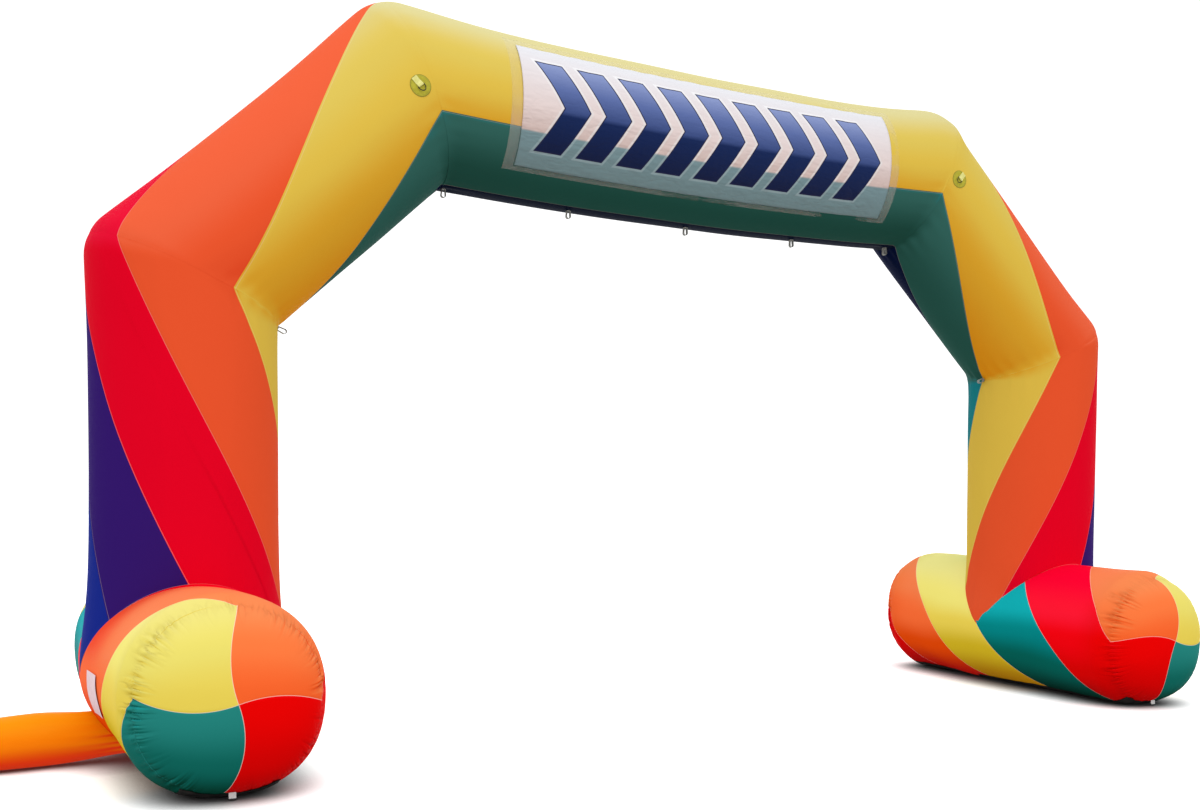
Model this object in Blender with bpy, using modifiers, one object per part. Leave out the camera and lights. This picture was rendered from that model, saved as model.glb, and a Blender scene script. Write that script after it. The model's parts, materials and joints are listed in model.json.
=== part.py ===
"""Inflatable race arch: five round air tubes on two foot tubes.

The arch stands in the XZ plane and its front faces -Y.  Two legs, two slanting
shoulder tubes and a slightly sagging beam meet at mitred seams.  Each leg is
saddled on the middle of a lying foot tube with domed end panels.  Panels,
straps, rings and tabs are sewn on the outside, and an open sleeve takes in air.
Units are metres, +Z is up, and the floor is Z = 0.
"""

import math

import bmesh
import bpy
from mathutils import Matrix, Vector

# ---------------------------------------------------------------- frame tubes
TUBE_RADIUS = 0.500
SHOULDER_TUBE_RADIUS = 0.503
ELBOW_X = 3.214             # tube axes cross here, between leg and shoulder tube
ELBOW_HEIGHT = 2.684
SHOULDER_X = 1.933          # tube axes cross here, between shoulder tube and beam
SHOULDER_HEIGHT = 3.893
BEAM_SAG = 0.043            # how far the beam's middle hangs below its ends
ARCH_X = 0.2278             # the arch stands off centre, to leave room for the air sleeve
CORNER_BULGE = 0.016        # cloth stands out on the outside of each mitre
CORNER_REACH = 0.35         # and this far along the tube

# ----------------------------------------------------------------- foot tubes
FOOT_X = 3.248
FOOT_RADIUS = 0.506
FOOT_AXIS_HEIGHT = 0.498
FOOT_STRAIGHT = 1.220       # half length of the straight barrel
FOOT_SEAM_Y = 1.376         # the end panel is gathered on here
FOOT_SEAM_RADIUS = 0.455
FOOT_APEX_Y = 1.580         # crown of the domed end panel
FOOT_TURN_DEG = {"left": 1.0, "right": -2.5}

# ------------------------------------------------------------ sewn-on pieces
BASE_THICK = 0.002
BASE_HALF_LENGTH = 1.360
BASE_HALF_WIDTH = 0.240
BANNER_HALF_LENGTH = 1.375
BANNER_LOW_DEG = -47.0      # angles round the beam, 0 at its front, up positive
BANNER_HIGH_DEG = 42.0
POCKET_HALF_LENGTH = 1.445
POCKET_LOW_DEG = -51.5
POCKET_HIGH_DEG = 50.0
SHEET_THICK = 0.0015
SHEET_STEP = 0.0021         # one sheet and its clearance to the next
SHEET_CLEAR = 0.0007        # lifts a sheet clear of the cloth it is sewn on
PATCH_RADIUS = 0.068
PATCH_TO_SEAM = 0.090       # patch centre to the shoulder seam, down the front
STRAP_WIDTH = 0.036
STRAP_THICK = 0.0018
STRAP_LENGTH = 0.058
STRAP_FOLD = 0.024          # where the fold round the ring is sewn down again
RING_WIRE = 0.0025          # radius of the ring's wire
RING_HALF_WIDTH = 0.0210
RING_DROP = 0.0330
RING_SHOULDER = 0.12        # share of a ring's drop before its bow begins
EYE_PLAY = 0.0008           # round a ring's bar in its webbing eye
LOOP_WIDTH = 0.030          # webbing loops under the beam and in the elbows
LOOP_DROP = 0.056
LOOP_THICK = 0.0025
LOOP_DEPTH = 0.025
LOOP_BEAM_X = (-0.868, 0.0, 0.868)
LOOP_SHOULDER_X = 1.705
LOOP_TOP_SHARE = 0.8        # the loop's ends are sewn together a little narrower
LOOP_CLEAR = 0.0004
LOOP_ELBOW_OUT = 0.0060     # clears the two tubes that meet in the elbow
TAB_WIDTH = 0.034           # anchor tab under the front end of each foot
TAB_TOP = 0.0436
TAB_EYE_HEIGHT = 0.0185
TAB_THICK = 0.0025
TAB_RING_HALF_WIDTH = 0.0200
TAB_RING_DROP = 0.0150
TAB_RING_WIRE = 0.0018
LABEL_Y = (-0.500, -0.340)
LABEL_DEG = (174.0, 206.0)
SLEEVE_RADIUS = 0.138
SLEEVE_HEIGHT = 0.160
SLEEVE_END = 1.012          # mouth's distance from the foot's axis
SLEEVE_ROOT = 0.278         # inside the barrel, whose shape is cut from the sleeve
SLEEVE_SWELL = 1.02         # the sleeve fills out a little half way along
SLEEVE_WALL = 0.002
SLEEVE_HEM = 0.030

# ------------------------------------------------------------------ fineness
GAP = 0.0003
ROUND_STEPS = 40
FACET_DEG = 360.0 / ROUND_STEPS
SLEEVE_STEPS = 28
BEAM_RINGS = 10
TUBE_RINGS = 6

COLORS = {
    "tube_cloth": (0.80, 0.42, 0.08),
    "foot_cloth": (0.85, 0.25, 0.10),
    "end_cloth": (0.86, 0.70, 0.12),
    "base_cloth": (0.02, 0.02, 0.02),
    "banner_cloth": (0.86, 0.82, 0.78),
    "pocket_film": (0.84, 0.70, 0.36),
    "patch_cloth": (0.60, 0.55, 0.10),
    "strap_webbing": (0.85, 0.80, 0.40),
    "loop_webbing": (0.45, 0.45, 0.43),
    "ring_plastic": (0.03, 0.03, 0.03),
    "label_cloth": (0.88, 0.84, 0.84),
    "sleeve_cloth": (0.95, 0.35, 0.02),
}
SHINE = {"pocket_film": 0.30, "ring_plastic": 0.35, "tube_cloth": 0.55, "foot_cloth": 0.55}
DEFAULT_ROUGHNESS = 0.70


# ------------------------------------------------------------------- helpers
def clear_scene():
    for item in list(bpy.data.objects):
        bpy.data.objects.remove(item, do_unlink=True)


def collection(name):
    group = bpy.data.collections.new(name)
    bpy.context.scene.collection.children.link(group)
    return group


def material(name):
    """Principled material of one finish, made once."""
    made = bpy.data.materials.get(name)
    if made is None:
        made = bpy.data.materials.new(name)
        made.use_nodes = True
        shader = made.node_tree.nodes["Principled BSDF"]
        shader.inputs["Base Color"].default_value = (*COLORS[name], 1.0)
        shader.inputs["Roughness"].default_value = SHINE.get(name, DEFAULT_ROUGHNESS)
        shader.inputs["Metallic"].default_value = 0.0
    return made


def empty(name, group, parent=None):
    item = bpy.data.objects.new(name, None)
    group.objects.link(item)
    item.parent = parent
    return item


def add_object(name, data, finish, group, frame):
    item = bpy.data.objects.new(name, data)
    group.objects.link(item)
    data.materials.append(material(finish))
    item.parent = frame
    if isinstance(data, bpy.types.Mesh):
        data.shade_smooth()
        data.set_sharp_from_angle(angle=math.radians(40.0))
    return item


def mesh_of(name, shape):
    """Turn a bmesh into a mesh with outward faces."""
    bmesh.ops.recalc_face_normals(shape, faces=shape.faces)
    mesh = bpy.data.meshes.new(name)
    shape.to_mesh(mesh)
    shape.free()
    return mesh


def loft(name, rings, closed_ring=True):
    """Skin a list of equal rings and fill the first and last one."""
    shape = bmesh.new()
    rows = [[shape.verts.new(point) for point in ring] for ring in rings]
    count = len(rows[0])
    spans = range(count if closed_ring else count - 1)
    for low, high in zip(rows, rows[1:]):
        for i in spans:
            j = (i + 1) % count
            shape.faces.new((low[i], low[j], high[j], high[i]))
    if closed_ring:
        shape.faces.new(rows[0])
        shape.faces.new(rows[-1])
    return mesh_of(name, shape)


def cut(item, cutter, operation="DIFFERENCE"):
    change = item.modifiers.new("cut_" + cutter.name, "BOOLEAN")
    change.operation = operation
    change.solver = "EXACT"
    change.object = cutter


def as_cutter(name, mesh, group, frame):
    item = bpy.data.objects.new(name, mesh)
    group.objects.link(item)
    item.parent = frame
    item.hide_render = True
    item.display_type = "WIRE"
    return item


def thicken(item, thickness):
    """Give an open sheet its thickness, away from what it lies on."""
    change = item.modifiers.new("cloth", "SOLIDIFY")
    change.thickness = thickness
    change.offset = 1.0
    change.use_even_offset = True


def arc(centre, radius, start_deg, end_deg, steps):
    """Points on a circle arc in a plane."""
    turn = math.radians(end_deg - start_deg) / steps
    first = math.radians(start_deg)
    return [(centre[0] + radius * math.cos(first + turn * i),
             centre[1] + radius * math.sin(first + turn * i)) for i in range(steps + 1)]


def on_facet(angle_deg, place):
    """Point on the chord between the two nearest side lines of a round mesh."""
    low = math.floor(angle_deg / FACET_DEG) * FACET_DEG
    return place(low).lerp(place(low + FACET_DEG), (angle_deg - low) / FACET_DEG)


def facet_angles(low_deg, high_deg):
    """Both ends of a span and each facet edge between them."""
    first = math.floor(low_deg / FACET_DEG) + 1
    last = math.ceil(high_deg / FACET_DEG)
    return [low_deg] + [FACET_DEG * i for i in range(first, last)] + [high_deg]


# ---------------------------------------------------------------- air tubes
class AirTube:
    """A round tube between two seam planes.

    Angle 0 is the front (-Y) and +90 degrees the outside of the arch.  Each line
    along the tube runs from the first seam plane to the second.
    """

    def __init__(self, start, end, start_normal, end_normal, outside, radius, sag=0.0,
                 start_flare=0.0, start_corner=True, rings=TUBE_RINGS):
        self.start = Vector((start[0], 0.0, start[1]))
        self.end = Vector((end[0], 0.0, end[1]))
        self.start_normal = start_normal
        self.end_normal = end_normal
        self.radius = radius
        self.sag = sag
        self.start_flare = start_flare
        self.start_corner = start_corner
        self.rings = rings
        self.axis = (self.end - self.start).normalized()
        side = Vector((-self.axis.z, 0.0, self.axis.x))
        self.outward = side if side.dot(outside) > 0.0 else -side

    def reach(self, arm, anchor, normal, trim):
        """How far along the axis a side line meets a seam plane."""
        offset = self.start + arm - anchor
        return (trim - offset.dot(normal)) / self.axis.dot(normal)

    def point(self, angle_deg, share, lift=0.0):
        """Point on the skin: angle round the tube, share 0..1 from seam to seam."""
        angle = math.radians(angle_deg)
        arm_way = Vector((0.0, -math.cos(angle), 0.0)) + self.outward * math.sin(angle)
        length = (self.end - self.start).length
        bulge = math.exp(-((1.0 - share) * length / CORNER_REACH) ** 2)
        if self.start_corner:
            bulge += math.exp(-(share * length / CORNER_REACH) ** 2)
        radius = self.radius + self.start_flare * (1.0 - share) ** 2
        radius += CORNER_BULGE * bulge * max(0.0, math.sin(angle)) ** 2
        arm = arm_way * (radius + lift)
        first = self.reach(arm, self.start, self.start_normal, GAP / 2)
        last = self.reach(arm, self.end, self.end_normal, -GAP / 2)
        along = first + (last - first) * share
        drop = Vector((0.0, 0.0, self.sag * 4.0 * share * (1.0 - share)))
        return self.start + arm + self.axis * along - drop

    def line_span(self, angle_deg):
        """How far along the axis one side line begins and ends."""
        return [(self.point(angle_deg, share) - self.start).dot(self.axis) for share in (0.0, 1.0)]

    def line_point(self, angle_deg, along, lift):
        """Point on one side line of the mesh, which is straight between rings."""
        first, last = self.line_span(angle_deg)
        place = (along - first) / (last - first) * self.rings
        ring = min(self.rings - 1, max(0, math.floor(place)))
        low = self.point(angle_deg, ring / self.rings, lift)
        high = self.point(angle_deg, (ring + 1) / self.rings, lift)
        return low.lerp(high, place - ring)

    def skin(self, angle_deg, along, lift=0.0):
        """Point on the faceted mesh itself, a distance along the axis."""
        return on_facet(angle_deg, lambda angle: self.line_point(angle, along, lift))

    def mesh(self, name):
        angles = [FACET_DEG * i for i in range(ROUND_STEPS)]
        shares = [i / self.rings for i in range(self.rings + 1)]
        return loft(name, [[self.point(a, s) for a in angles] for s in shares])


def frame_tubes():
    """The five tubes, each from its lower or left end."""
    up = Vector((0.0, 0.0, 1.0))
    tubes = {}
    for side, sign in (("left", -1.0), ("right", 1.0)):
        elbow = (sign * ELBOW_X, ELBOW_HEIGHT)
        shoulder = (sign * SHOULDER_X, SHOULDER_HEIGHT)
        slant = Vector((shoulder[0] - elbow[0], 0.0, shoulder[1] - elbow[1])).normalized()
        leg = Vector((elbow[0] - sign * FOOT_X, 0.0, elbow[1] - FOOT_AXIS_HEIGHT)).normalized()
        inward = Vector((-sign, 0.0, 0.0))
        elbow_seam = (leg + slant).normalized()
        shoulder_seam = (slant + inward).normalized()
        outside = Vector((sign, 0.0, 0.5))
        tubes["leg_" + side] = AirTube(
            (sign * FOOT_X, FOOT_AXIS_HEIGHT), elbow, up, elbow_seam, outside, TUBE_RADIUS,
            start_flare=FOOT_RADIUS - TUBE_RADIUS, start_corner=False)
        tubes["shoulder_" + side] = AirTube(
            elbow, shoulder, elbow_seam, shoulder_seam, outside, SHOULDER_TUBE_RADIUS)
    left_seam = tubes["shoulder_left"].end_normal
    right_seam = -tubes["shoulder_right"].end_normal
    tubes["beam"] = AirTube((-SHOULDER_X, SHOULDER_HEIGHT), (SHOULDER_X, SHOULDER_HEIGHT),
                            left_seam, right_seam, up, TUBE_RADIUS, sag=BEAM_SAG,
                            rings=BEAM_RINGS)
    return tubes


# --------------------------------------------------------------------- feet
def barrel_radius(y):
    """The barrel is straight, then curves in to the end panel's seam."""
    past = max(0.0, abs(y) - FOOT_STRAIGHT) / (FOOT_SEAM_Y - FOOT_STRAIGHT)
    return FOOT_RADIUS - (FOOT_RADIUS - FOOT_SEAM_RADIUS) * (1.0 - math.cos(past * math.pi / 2))


def profile_mesh(name, points, closed=False):
    """Mesh of the edges along a profile in the XY plane."""
    shape = bmesh.new()
    verts = [shape.verts.new((x, y, 0.0)) for x, y in points]
    for low, high in zip(verts, verts[1:]):
        shape.edges.new((low, high))
    if closed:
        shape.edges.new((verts[-1], verts[0]))
    mesh = bpy.data.meshes.new(name)
    shape.to_mesh(mesh)
    shape.free()
    return mesh


def screw(item, axis, steps):
    """Turn an object's profile once round an axis."""
    change = item.modifiers.new("turn", "SCREW")
    change.axis = axis
    change.steps = steps
    change.render_steps = steps
    change.use_merge_vertices = True
    change.merge_threshold = 0.00005


def turned(name, profile, finish, group, frame):
    """Turn a profile of (radius, y) points round the foot's axis."""
    item = add_object(name, profile_mesh(name, profile), finish, group, frame)
    item.location.z = FOOT_AXIS_HEIGHT
    screw(item, "Y", ROUND_STEPS)
    return item


def barrel_profile(lift=0.0):
    """Half section of the barrel, or of a skin a little outside it."""
    curve_steps = 4
    ys = [FOOT_STRAIGHT + (FOOT_SEAM_Y - FOOT_STRAIGHT) * i / curve_steps
          for i in range(curve_steps + 1)]
    half = [(barrel_radius(y) + lift, y) for y in ys]
    front = [(radius, -y) for radius, y in reversed(half)]
    return [(0.0, FOOT_SEAM_Y)] + half[::-1] + front[::-1] + [(0.0, -FOOT_SEAM_Y)]


def end_profile(sign):
    """A shallow dome that springs from the seam circle."""
    dome_steps = 6
    start = FOOT_SEAM_Y + GAP
    points = [(0.0, start)]
    for i in range(dome_steps + 1):
        turn = math.pi / 2 * i / dome_steps
        points.append((FOOT_SEAM_RADIUS * math.cos(turn),
                       start + (FOOT_APEX_Y - start) * math.sin(turn)))
    points = [(radius, sign * y) for radius, y in points]
    return points[::-1] if sign > 0.0 else points


def block_cutter(name, low, high, group, frame):
    """A box between two corners in the foot's own frame."""
    shape = bmesh.new()
    size = Vector(high) - Vector(low)
    place = Matrix.Translation((Vector(high) + Vector(low)) / 2) @ Matrix.Diagonal((*size, 1.0))
    bmesh.ops.create_cube(shape, size=1.0, matrix=place)
    return as_cutter(name + "_" + frame.name, mesh_of(name, shape), group, frame)


def floor_cutter(height, group, frame):
    """All that lies under a level, which leaves a flat underside."""
    return block_cutter("floor_line", (-1.0, -2.0, -1.0), (1.0, 2.0, height), group, frame)


def barrel_cutter(lift, group, frame):
    """The barrel and a little more, cut from what is sewn on it."""
    name = "barrel_room_" + frame.name
    room = as_cutter(name, profile_mesh(name, barrel_profile(lift)), group, frame)
    room.location.z = FOOT_AXIS_HEIGHT
    screw(room, "Y", ROUND_STEPS)
    return room


def base_panel(name, group, cutters, frame):
    """Black wear panel wrapped under the barrel and flat where it lies."""
    panel = turned(name, barrel_profile(GAP + BASE_THICK), "base_cloth", group, frame)
    inside = barrel_cutter(GAP, cutters, frame)
    cut(inside, floor_cutter(BASE_THICK, cutters, frame))
    strip = block_cutter("base_strip", (-BASE_HALF_WIDTH, -BASE_HALF_LENGTH, 0.0),
                         (BASE_HALF_WIDTH, BASE_HALF_LENGTH, FOOT_AXIS_HEIGHT / 2), cutters, frame)
    cut(panel, inside)
    cut(panel, strip, "INTERSECT")


def barrel_sheet(name, y_span, deg_span, finish, group, frame):
    """Thin rectangle that follows the barrel's side."""
    radius = FOOT_RADIUS + SHEET_CLEAR

    def place(angle_deg, y):
        turn = math.radians(angle_deg)
        return Vector((radius * math.cos(turn), y, FOOT_AXIS_HEIGHT + radius * math.sin(turn)))

    mesh = wrapped_grid(name, facet_angles(*deg_span), y_span,
                        lambda angle, y: on_facet(angle, lambda edge: place(edge, y)),
                        Vector((0.0, sum(y_span) / 2, FOOT_AXIS_HEIGHT)))
    thicken(add_object(name, mesh, finish, group, frame), SHEET_THICK)


def wrapped_grid(name, angles, stations, place, centre):
    """Grid with a row for each angle and a column for each station along a tube."""
    rows = len(angles) - 1
    columns = len(stations) - 1
    shape = bmesh.new()
    bmesh.ops.create_grid(shape, x_segments=columns, y_segments=rows, size=0.5)
    for vert in shape.verts:
        angle = angles[round((vert.co.y + 0.5) * rows)]
        station = stations[round((vert.co.x + 0.5) * columns)]
        vert.co = place(angle, station)
    face_away(shape, centre)
    mesh = bpy.data.meshes.new(name)
    shape.to_mesh(mesh)
    shape.free()
    return mesh


def face_away(shape, centre):
    """Turn a sheet's faces so that they look away from a point."""
    shape.normal_update()
    first = next(iter(shape.faces))
    if first.normal.dot(first.calc_center_median() - centre) < 0.0:
        bmesh.ops.reverse_faces(shape, faces=shape.faces)


def anchor_tab(side, group, frame):
    """Webbing tab under the front end's seam, with a ring in its eye."""
    hole = TAB_RING_WIRE + EYE_PLAY
    eye = hole + TAB_THICK
    y = -FOOT_SEAM_Y - eye - 2.0 * GAP
    height = TAB_TOP - TAB_EYE_HEIGHT
    outline = arc((0.0, 0.0), eye, 150.0, 390.0, 12)
    outline += [(TAB_THICK, height), (-TAB_THICK, height)]
    opening = arc((0.0, 0.0), hole, 0.0, 360.0, 12)[:-1]
    name = "anchor_tab_" + side
    tab = add_object(name, flat_piece(name, [outline, opening], TAB_WIDTH), "loop_webbing",
                     group, frame)
    # The outline's plane is turned so that the eye runs along X and the tab stands up.
    tab.rotation_euler = (math.pi / 2, 0.0, math.pi / 2)
    tab.location = (0.0, y, TAB_EYE_HEIGHT)
    name = "anchor_ring_" + side
    ring = wire_ring(name, d_shape(TAB_RING_HALF_WIDTH, TAB_RING_DROP), TAB_RING_WIRE)
    hoop = add_object(name, ring, "ring_plastic", group, frame)
    hoop.rotation_euler = (math.pi / 2, 0.0, 0.0)
    hoop.location = (0.0, y, TAB_EYE_HEIGHT)


# ------------------------------------------------------------ small hardware
def flat_piece(name, outlines, width):
    """Mesh of an outline with holes, in the XY plane, extruded evenly along Z."""
    curve = bpy.data.curves.new(name, "CURVE")
    curve.dimensions = "2D"
    curve.fill_mode = "BOTH"
    curve.extrude = width / 2
    for outline in outlines:
        spline = curve.splines.new("POLY")
        spline.points.add(len(outline) - 1)
        for point, (x, y) in zip(spline.points, outline):
            point.co = (x, y, 0.0, 1.0)
        spline.use_cyclic_u = True
    return curve_mesh(name, curve)


def wire_ring(name, points, wire_radius):
    """Mesh of a round wire bent into a closed ring in the XY plane."""
    curve = bpy.data.curves.new(name, "CURVE")
    curve.dimensions = "3D"
    curve.bevel_depth = wire_radius
    curve.bevel_resolution = 2
    spline = curve.splines.new("POLY")
    spline.points.add(len(points) - 1)
    for point, (x, y) in zip(spline.points, points):
        point.co = (x, y, 0.0, 1.0)
    spline.use_cyclic_u = True
    return curve_mesh(name, curve)


def d_shape(half_width, drop):
    """Points of a D: a straight bar on the X axis and a bow below it."""
    lead = RING_SHOULDER * drop
    steps = 14
    bow = [(half_width * math.cos(t), -(drop - lead) * math.sin(t) - lead)
           for t in (math.pi * i / steps for i in range(steps + 1))]
    return [(half_width, 0.0)] + bow + [(-half_width, 0.0)]


def curve_mesh(name, curve):
    """Weld a curve's faces into one mesh and drop the curve."""
    holder = bpy.data.objects.new(name + "_curve", curve)
    bpy.context.scene.collection.objects.link(holder)
    graph = bpy.context.evaluated_depsgraph_get()
    mesh = bpy.data.meshes.new_from_object(holder.evaluated_get(graph))
    mesh.name = name
    shape = bmesh.new()
    shape.from_mesh(mesh)
    bmesh.ops.remove_doubles(shape, verts=shape.verts, dist=0.00001)
    bmesh.ops.recalc_face_normals(shape, faces=shape.faces)
    shape.to_mesh(mesh)
    shape.free()
    mesh.materials.clear()
    bpy.data.objects.remove(holder, do_unlink=True)
    return mesh


def loop_mesh(name):
    """Webbing folded to a hanging loop, seen as a long U from the front."""
    half = LOOP_WIDTH / 2
    inside = half - LOOP_THICK
    top = half * LOOP_TOP_SHARE
    roof = -2.0 * LOOP_THICK
    low = -LOOP_DROP + half
    outer = arc((0.0, low), half, 180.0, 360.0, 10) + [(top, 0.0), (-top, 0.0)]
    inner = arc((0.0, low), inside, 180.0, 360.0, 10)
    inner += [(top - LOOP_THICK, roof), (-top + LOOP_THICK, roof)]
    return flat_piece(name, [outer, inner], LOOP_DEPTH)


def hang_loop(name, root, down, out, group, frame):
    """Hang a loop from a point of the cloth along a direction in the XZ plane."""
    item = add_object(name, loop_mesh(name), "loop_webbing", group, frame)
    item.rotation_euler = (math.pi / 2, math.atan2(-down.x, -down.z), 0.0)
    item.location = root + down * out


def hang_under_beam(name, beam, x, group, frame):
    """Hang a loop square to the beam's sagging underside."""
    place = x - beam.start.x
    along = beam.skin(-90.0, place + LOOP_WIDTH / 2) - beam.skin(-90.0, place - LOOP_WIDTH / 2)
    down = Vector((along.z, 0.0, -along.x)).normalized()
    hang_loop(name, beam.skin(-90.0, place), down, LOOP_CLEAR, group, frame)


# --------------------------------------------------------------- sewn sheets
def beam_sheet(name, beam, half_length, low_deg, high_deg, layer, finish, group, frame):
    """Rectangle of cloth that lies on the beam's front."""
    columns = 12
    lift = SHEET_CLEAR + layer * SHEET_STEP
    stations = [half_length * (2.0 * i / columns - 1.0) for i in range(columns + 1)]
    mesh = wrapped_grid(name, facet_angles(low_deg, high_deg), stations,
                        lambda angle, x: beam.skin(angle, x - beam.start.x, lift),
                        Vector((0.0, 0.0, SHOULDER_HEIGHT)))
    thicken(add_object(name, mesh, finish, group, frame), SHEET_THICK)


def tether(side, tube, group, frame):
    """Round patch near the shoulder seam, with a strap that holds a D-ring."""
    centre = tube.line_span(0.0)[1] - PATCH_TO_SEAM
    shape = bmesh.new()
    bmesh.ops.create_circle(shape, cap_ends=True, cap_tris=True, segments=24, radius=PATCH_RADIUS)
    for vert in shape.verts:
        turn = math.degrees(vert.co.y / tube.radius)
        vert.co = tube.skin(turn, centre + vert.co.x, SHEET_CLEAR)
    face_away(shape, (tube.start + tube.end) / 2)
    mesh = bpy.data.meshes.new("patch_" + side)
    shape.to_mesh(mesh)
    shape.free()
    patch = add_object("patch_" + side, mesh, "patch_cloth", group, frame)
    thicken(patch, SHEET_THICK)

    # The strap runs down round the tube from the patch's upper rim.
    place = tube.skin(0.0, centre, SHEET_CLEAR + SHEET_STEP)
    down = (place - tube.skin(FACET_DEG, centre, SHEET_CLEAR + SHEET_STEP)).normalized()
    out = down.cross(tube.axis)
    out = out if out.y < 0.0 else -out
    across = down.cross(out)
    hole = RING_WIRE + EYE_PLAY
    eye = hole + STRAP_THICK
    outline = [(-STRAP_LENGTH, 0.0)] + arc((0.0, eye), eye, -90.0, 100.0, 12)
    outline += [(-STRAP_FOLD, 2.0 * STRAP_THICK), (-STRAP_LENGTH, 2.0 * STRAP_THICK)]
    opening = arc((0.0, eye), hole, 0.0, 360.0, 12)[:-1]
    strap = add_object("strap_" + side, flat_piece("strap_" + side, [outline, opening], STRAP_WIDTH),
                       "strap_webbing", group, frame)
    axes = Matrix((down, out, across)).transposed().to_4x4()
    strap.matrix_basis = Matrix.Translation(place) @ axes

    points = d_shape(RING_HALF_WIDTH, RING_DROP)
    ring = add_object("ring_" + side, wire_ring("ring_" + side, points, RING_WIRE),
                      "ring_plastic", group, frame)
    ring_axes = Matrix((-across, -down, out)).transposed().to_4x4()
    ring.matrix_basis = Matrix.Translation(place + out * eye) @ ring_axes


def air_sleeve(name, group, frame):
    """Open cloth sleeve with a hemmed mouth, on the foot's outer side."""
    middle = 0.5 * (SLEEVE_ROOT + SLEEVE_END)
    full = SLEEVE_RADIUS * SLEEVE_SWELL
    hem = SLEEVE_RADIUS + SLEEVE_WALL
    outer = [(SLEEVE_RADIUS, SLEEVE_ROOT), (full, middle), (SLEEVE_RADIUS, SLEEVE_END - SLEEVE_HEM),
             (hem, SLEEVE_END - SLEEVE_HEM), (hem, SLEEVE_END)]
    inner = [(SLEEVE_RADIUS - SLEEVE_WALL, SLEEVE_END), (full - SLEEVE_WALL, middle),
             (SLEEVE_RADIUS - SLEEVE_WALL, SLEEVE_ROOT)]
    profile = [(-along, radius) for radius, along in outer + inner]
    item = add_object(name, profile_mesh(name, profile, closed=True), "sleeve_cloth", group, frame)
    item.location.z = SLEEVE_HEIGHT
    screw(item, "X", SLEEVE_STEPS)
    return item


# --------------------------------------------------------------------- build
def build():
    clear_scene()
    parts = collection("inflatable_arch")
    cutters = collection("cutters")
    centre = empty("arch_centre", parts)
    centre.location.x = ARCH_X
    tubes = frame_tubes()
    made = {}
    for name, tube in tubes.items():
        made[name] = add_object(name, tube.mesh(name), "tube_cloth", parts, centre)

    for side, sign in (("left", -1.0), ("right", 1.0)):
        frame = empty("foot_frame_" + side, parts, centre)
        frame.location.x = sign * FOOT_X
        frame.rotation_euler.z = math.radians(FOOT_TURN_DEG[side])
        floor = floor_cutter(BASE_THICK + GAP, cutters, frame)
        room = barrel_cutter(GAP, cutters, frame)
        barrel = turned("foot_" + side, barrel_profile(), "foot_cloth", parts, frame)
        cut(barrel, floor)
        turned("end_front_" + side, end_profile(-1.0), "end_cloth", parts, frame)
        turned("end_back_" + side, end_profile(1.0), "end_cloth", parts, frame)
        base_panel("base_" + side, parts, cutters, frame)
        anchor_tab(side, parts, frame)
        cut(made["leg_" + side], room)
        tether(side, tubes["shoulder_" + side], parts, centre)
        if side == "left":
            sleeve = air_sleeve("air_sleeve", parts, frame)
            cut(sleeve, room)
            barrel_sheet("label", LABEL_Y, LABEL_DEG, "label_cloth", parts, frame)

    beam = tubes["beam"]
    beam_sheet("banner_pocket", beam, POCKET_HALF_LENGTH, POCKET_LOW_DEG, POCKET_HIGH_DEG, 0,
               "pocket_film", parts, centre)
    beam_sheet("banner", beam, BANNER_HALF_LENGTH, BANNER_LOW_DEG, BANNER_HIGH_DEG, 1,
               "banner_cloth", parts, centre)

    for i, x in enumerate(LOOP_BEAM_X):
        hang_under_beam("loop_beam_%d" % (i + 1), beam, x, parts, centre)
    for side in ("left", "right"):
        shoulder = tubes["shoulder_" + side]
        hang_under_beam("loop_shoulder_" + side, beam,
                        math.copysign(LOOP_SHOULDER_X, shoulder.end.x), parts, centre)
        seam = shoulder.start_normal
        inner = Vector((-seam.z, 0.0, seam.x))
        inner = inner if inner.z < 0.0 else -inner
        hang_loop("loop_elbow_" + side, shoulder.point(-90.0, 0.0), inner, LOOP_ELBOW_OUT,
                  parts, centre)


build()
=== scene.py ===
"""Looks of an inflatable race arch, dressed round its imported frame.

Five banded air tubes stand on two foot tubes with gathered end panels.  A clear
pocket with a printed banner lies on the beam, and patches, webbing loops, anchor
tabs, wear panels, a label and an open air sleeve are sewn on.  Units are metres,
+Z is up, the front faces -Y, and every mesh holds its own place.
"""

import json
import logging
import math
from dataclasses import dataclass, field
from enum import Enum
from typing import Any, ClassVar, Sequence

import bpy
import numpy as np
from mathutils import Matrix, Vector

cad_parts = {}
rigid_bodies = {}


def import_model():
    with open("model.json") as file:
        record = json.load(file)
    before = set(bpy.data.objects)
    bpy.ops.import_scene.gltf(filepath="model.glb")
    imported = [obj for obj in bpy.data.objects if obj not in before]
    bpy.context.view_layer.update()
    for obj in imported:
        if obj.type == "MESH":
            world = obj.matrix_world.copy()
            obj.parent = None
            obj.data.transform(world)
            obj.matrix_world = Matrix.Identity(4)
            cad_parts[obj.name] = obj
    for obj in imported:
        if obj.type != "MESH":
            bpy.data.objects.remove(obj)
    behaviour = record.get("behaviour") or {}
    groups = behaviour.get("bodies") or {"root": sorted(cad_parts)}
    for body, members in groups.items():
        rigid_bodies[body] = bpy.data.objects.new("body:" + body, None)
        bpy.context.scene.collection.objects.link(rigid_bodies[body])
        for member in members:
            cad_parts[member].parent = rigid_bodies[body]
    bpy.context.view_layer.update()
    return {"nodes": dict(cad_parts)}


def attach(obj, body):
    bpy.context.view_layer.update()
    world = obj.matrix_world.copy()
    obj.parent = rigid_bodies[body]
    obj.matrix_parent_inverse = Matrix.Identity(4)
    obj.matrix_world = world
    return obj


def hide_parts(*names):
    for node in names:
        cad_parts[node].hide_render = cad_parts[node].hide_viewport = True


LOG = logging.getLogger("inflatable_arch")
BODY = "root"

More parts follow.
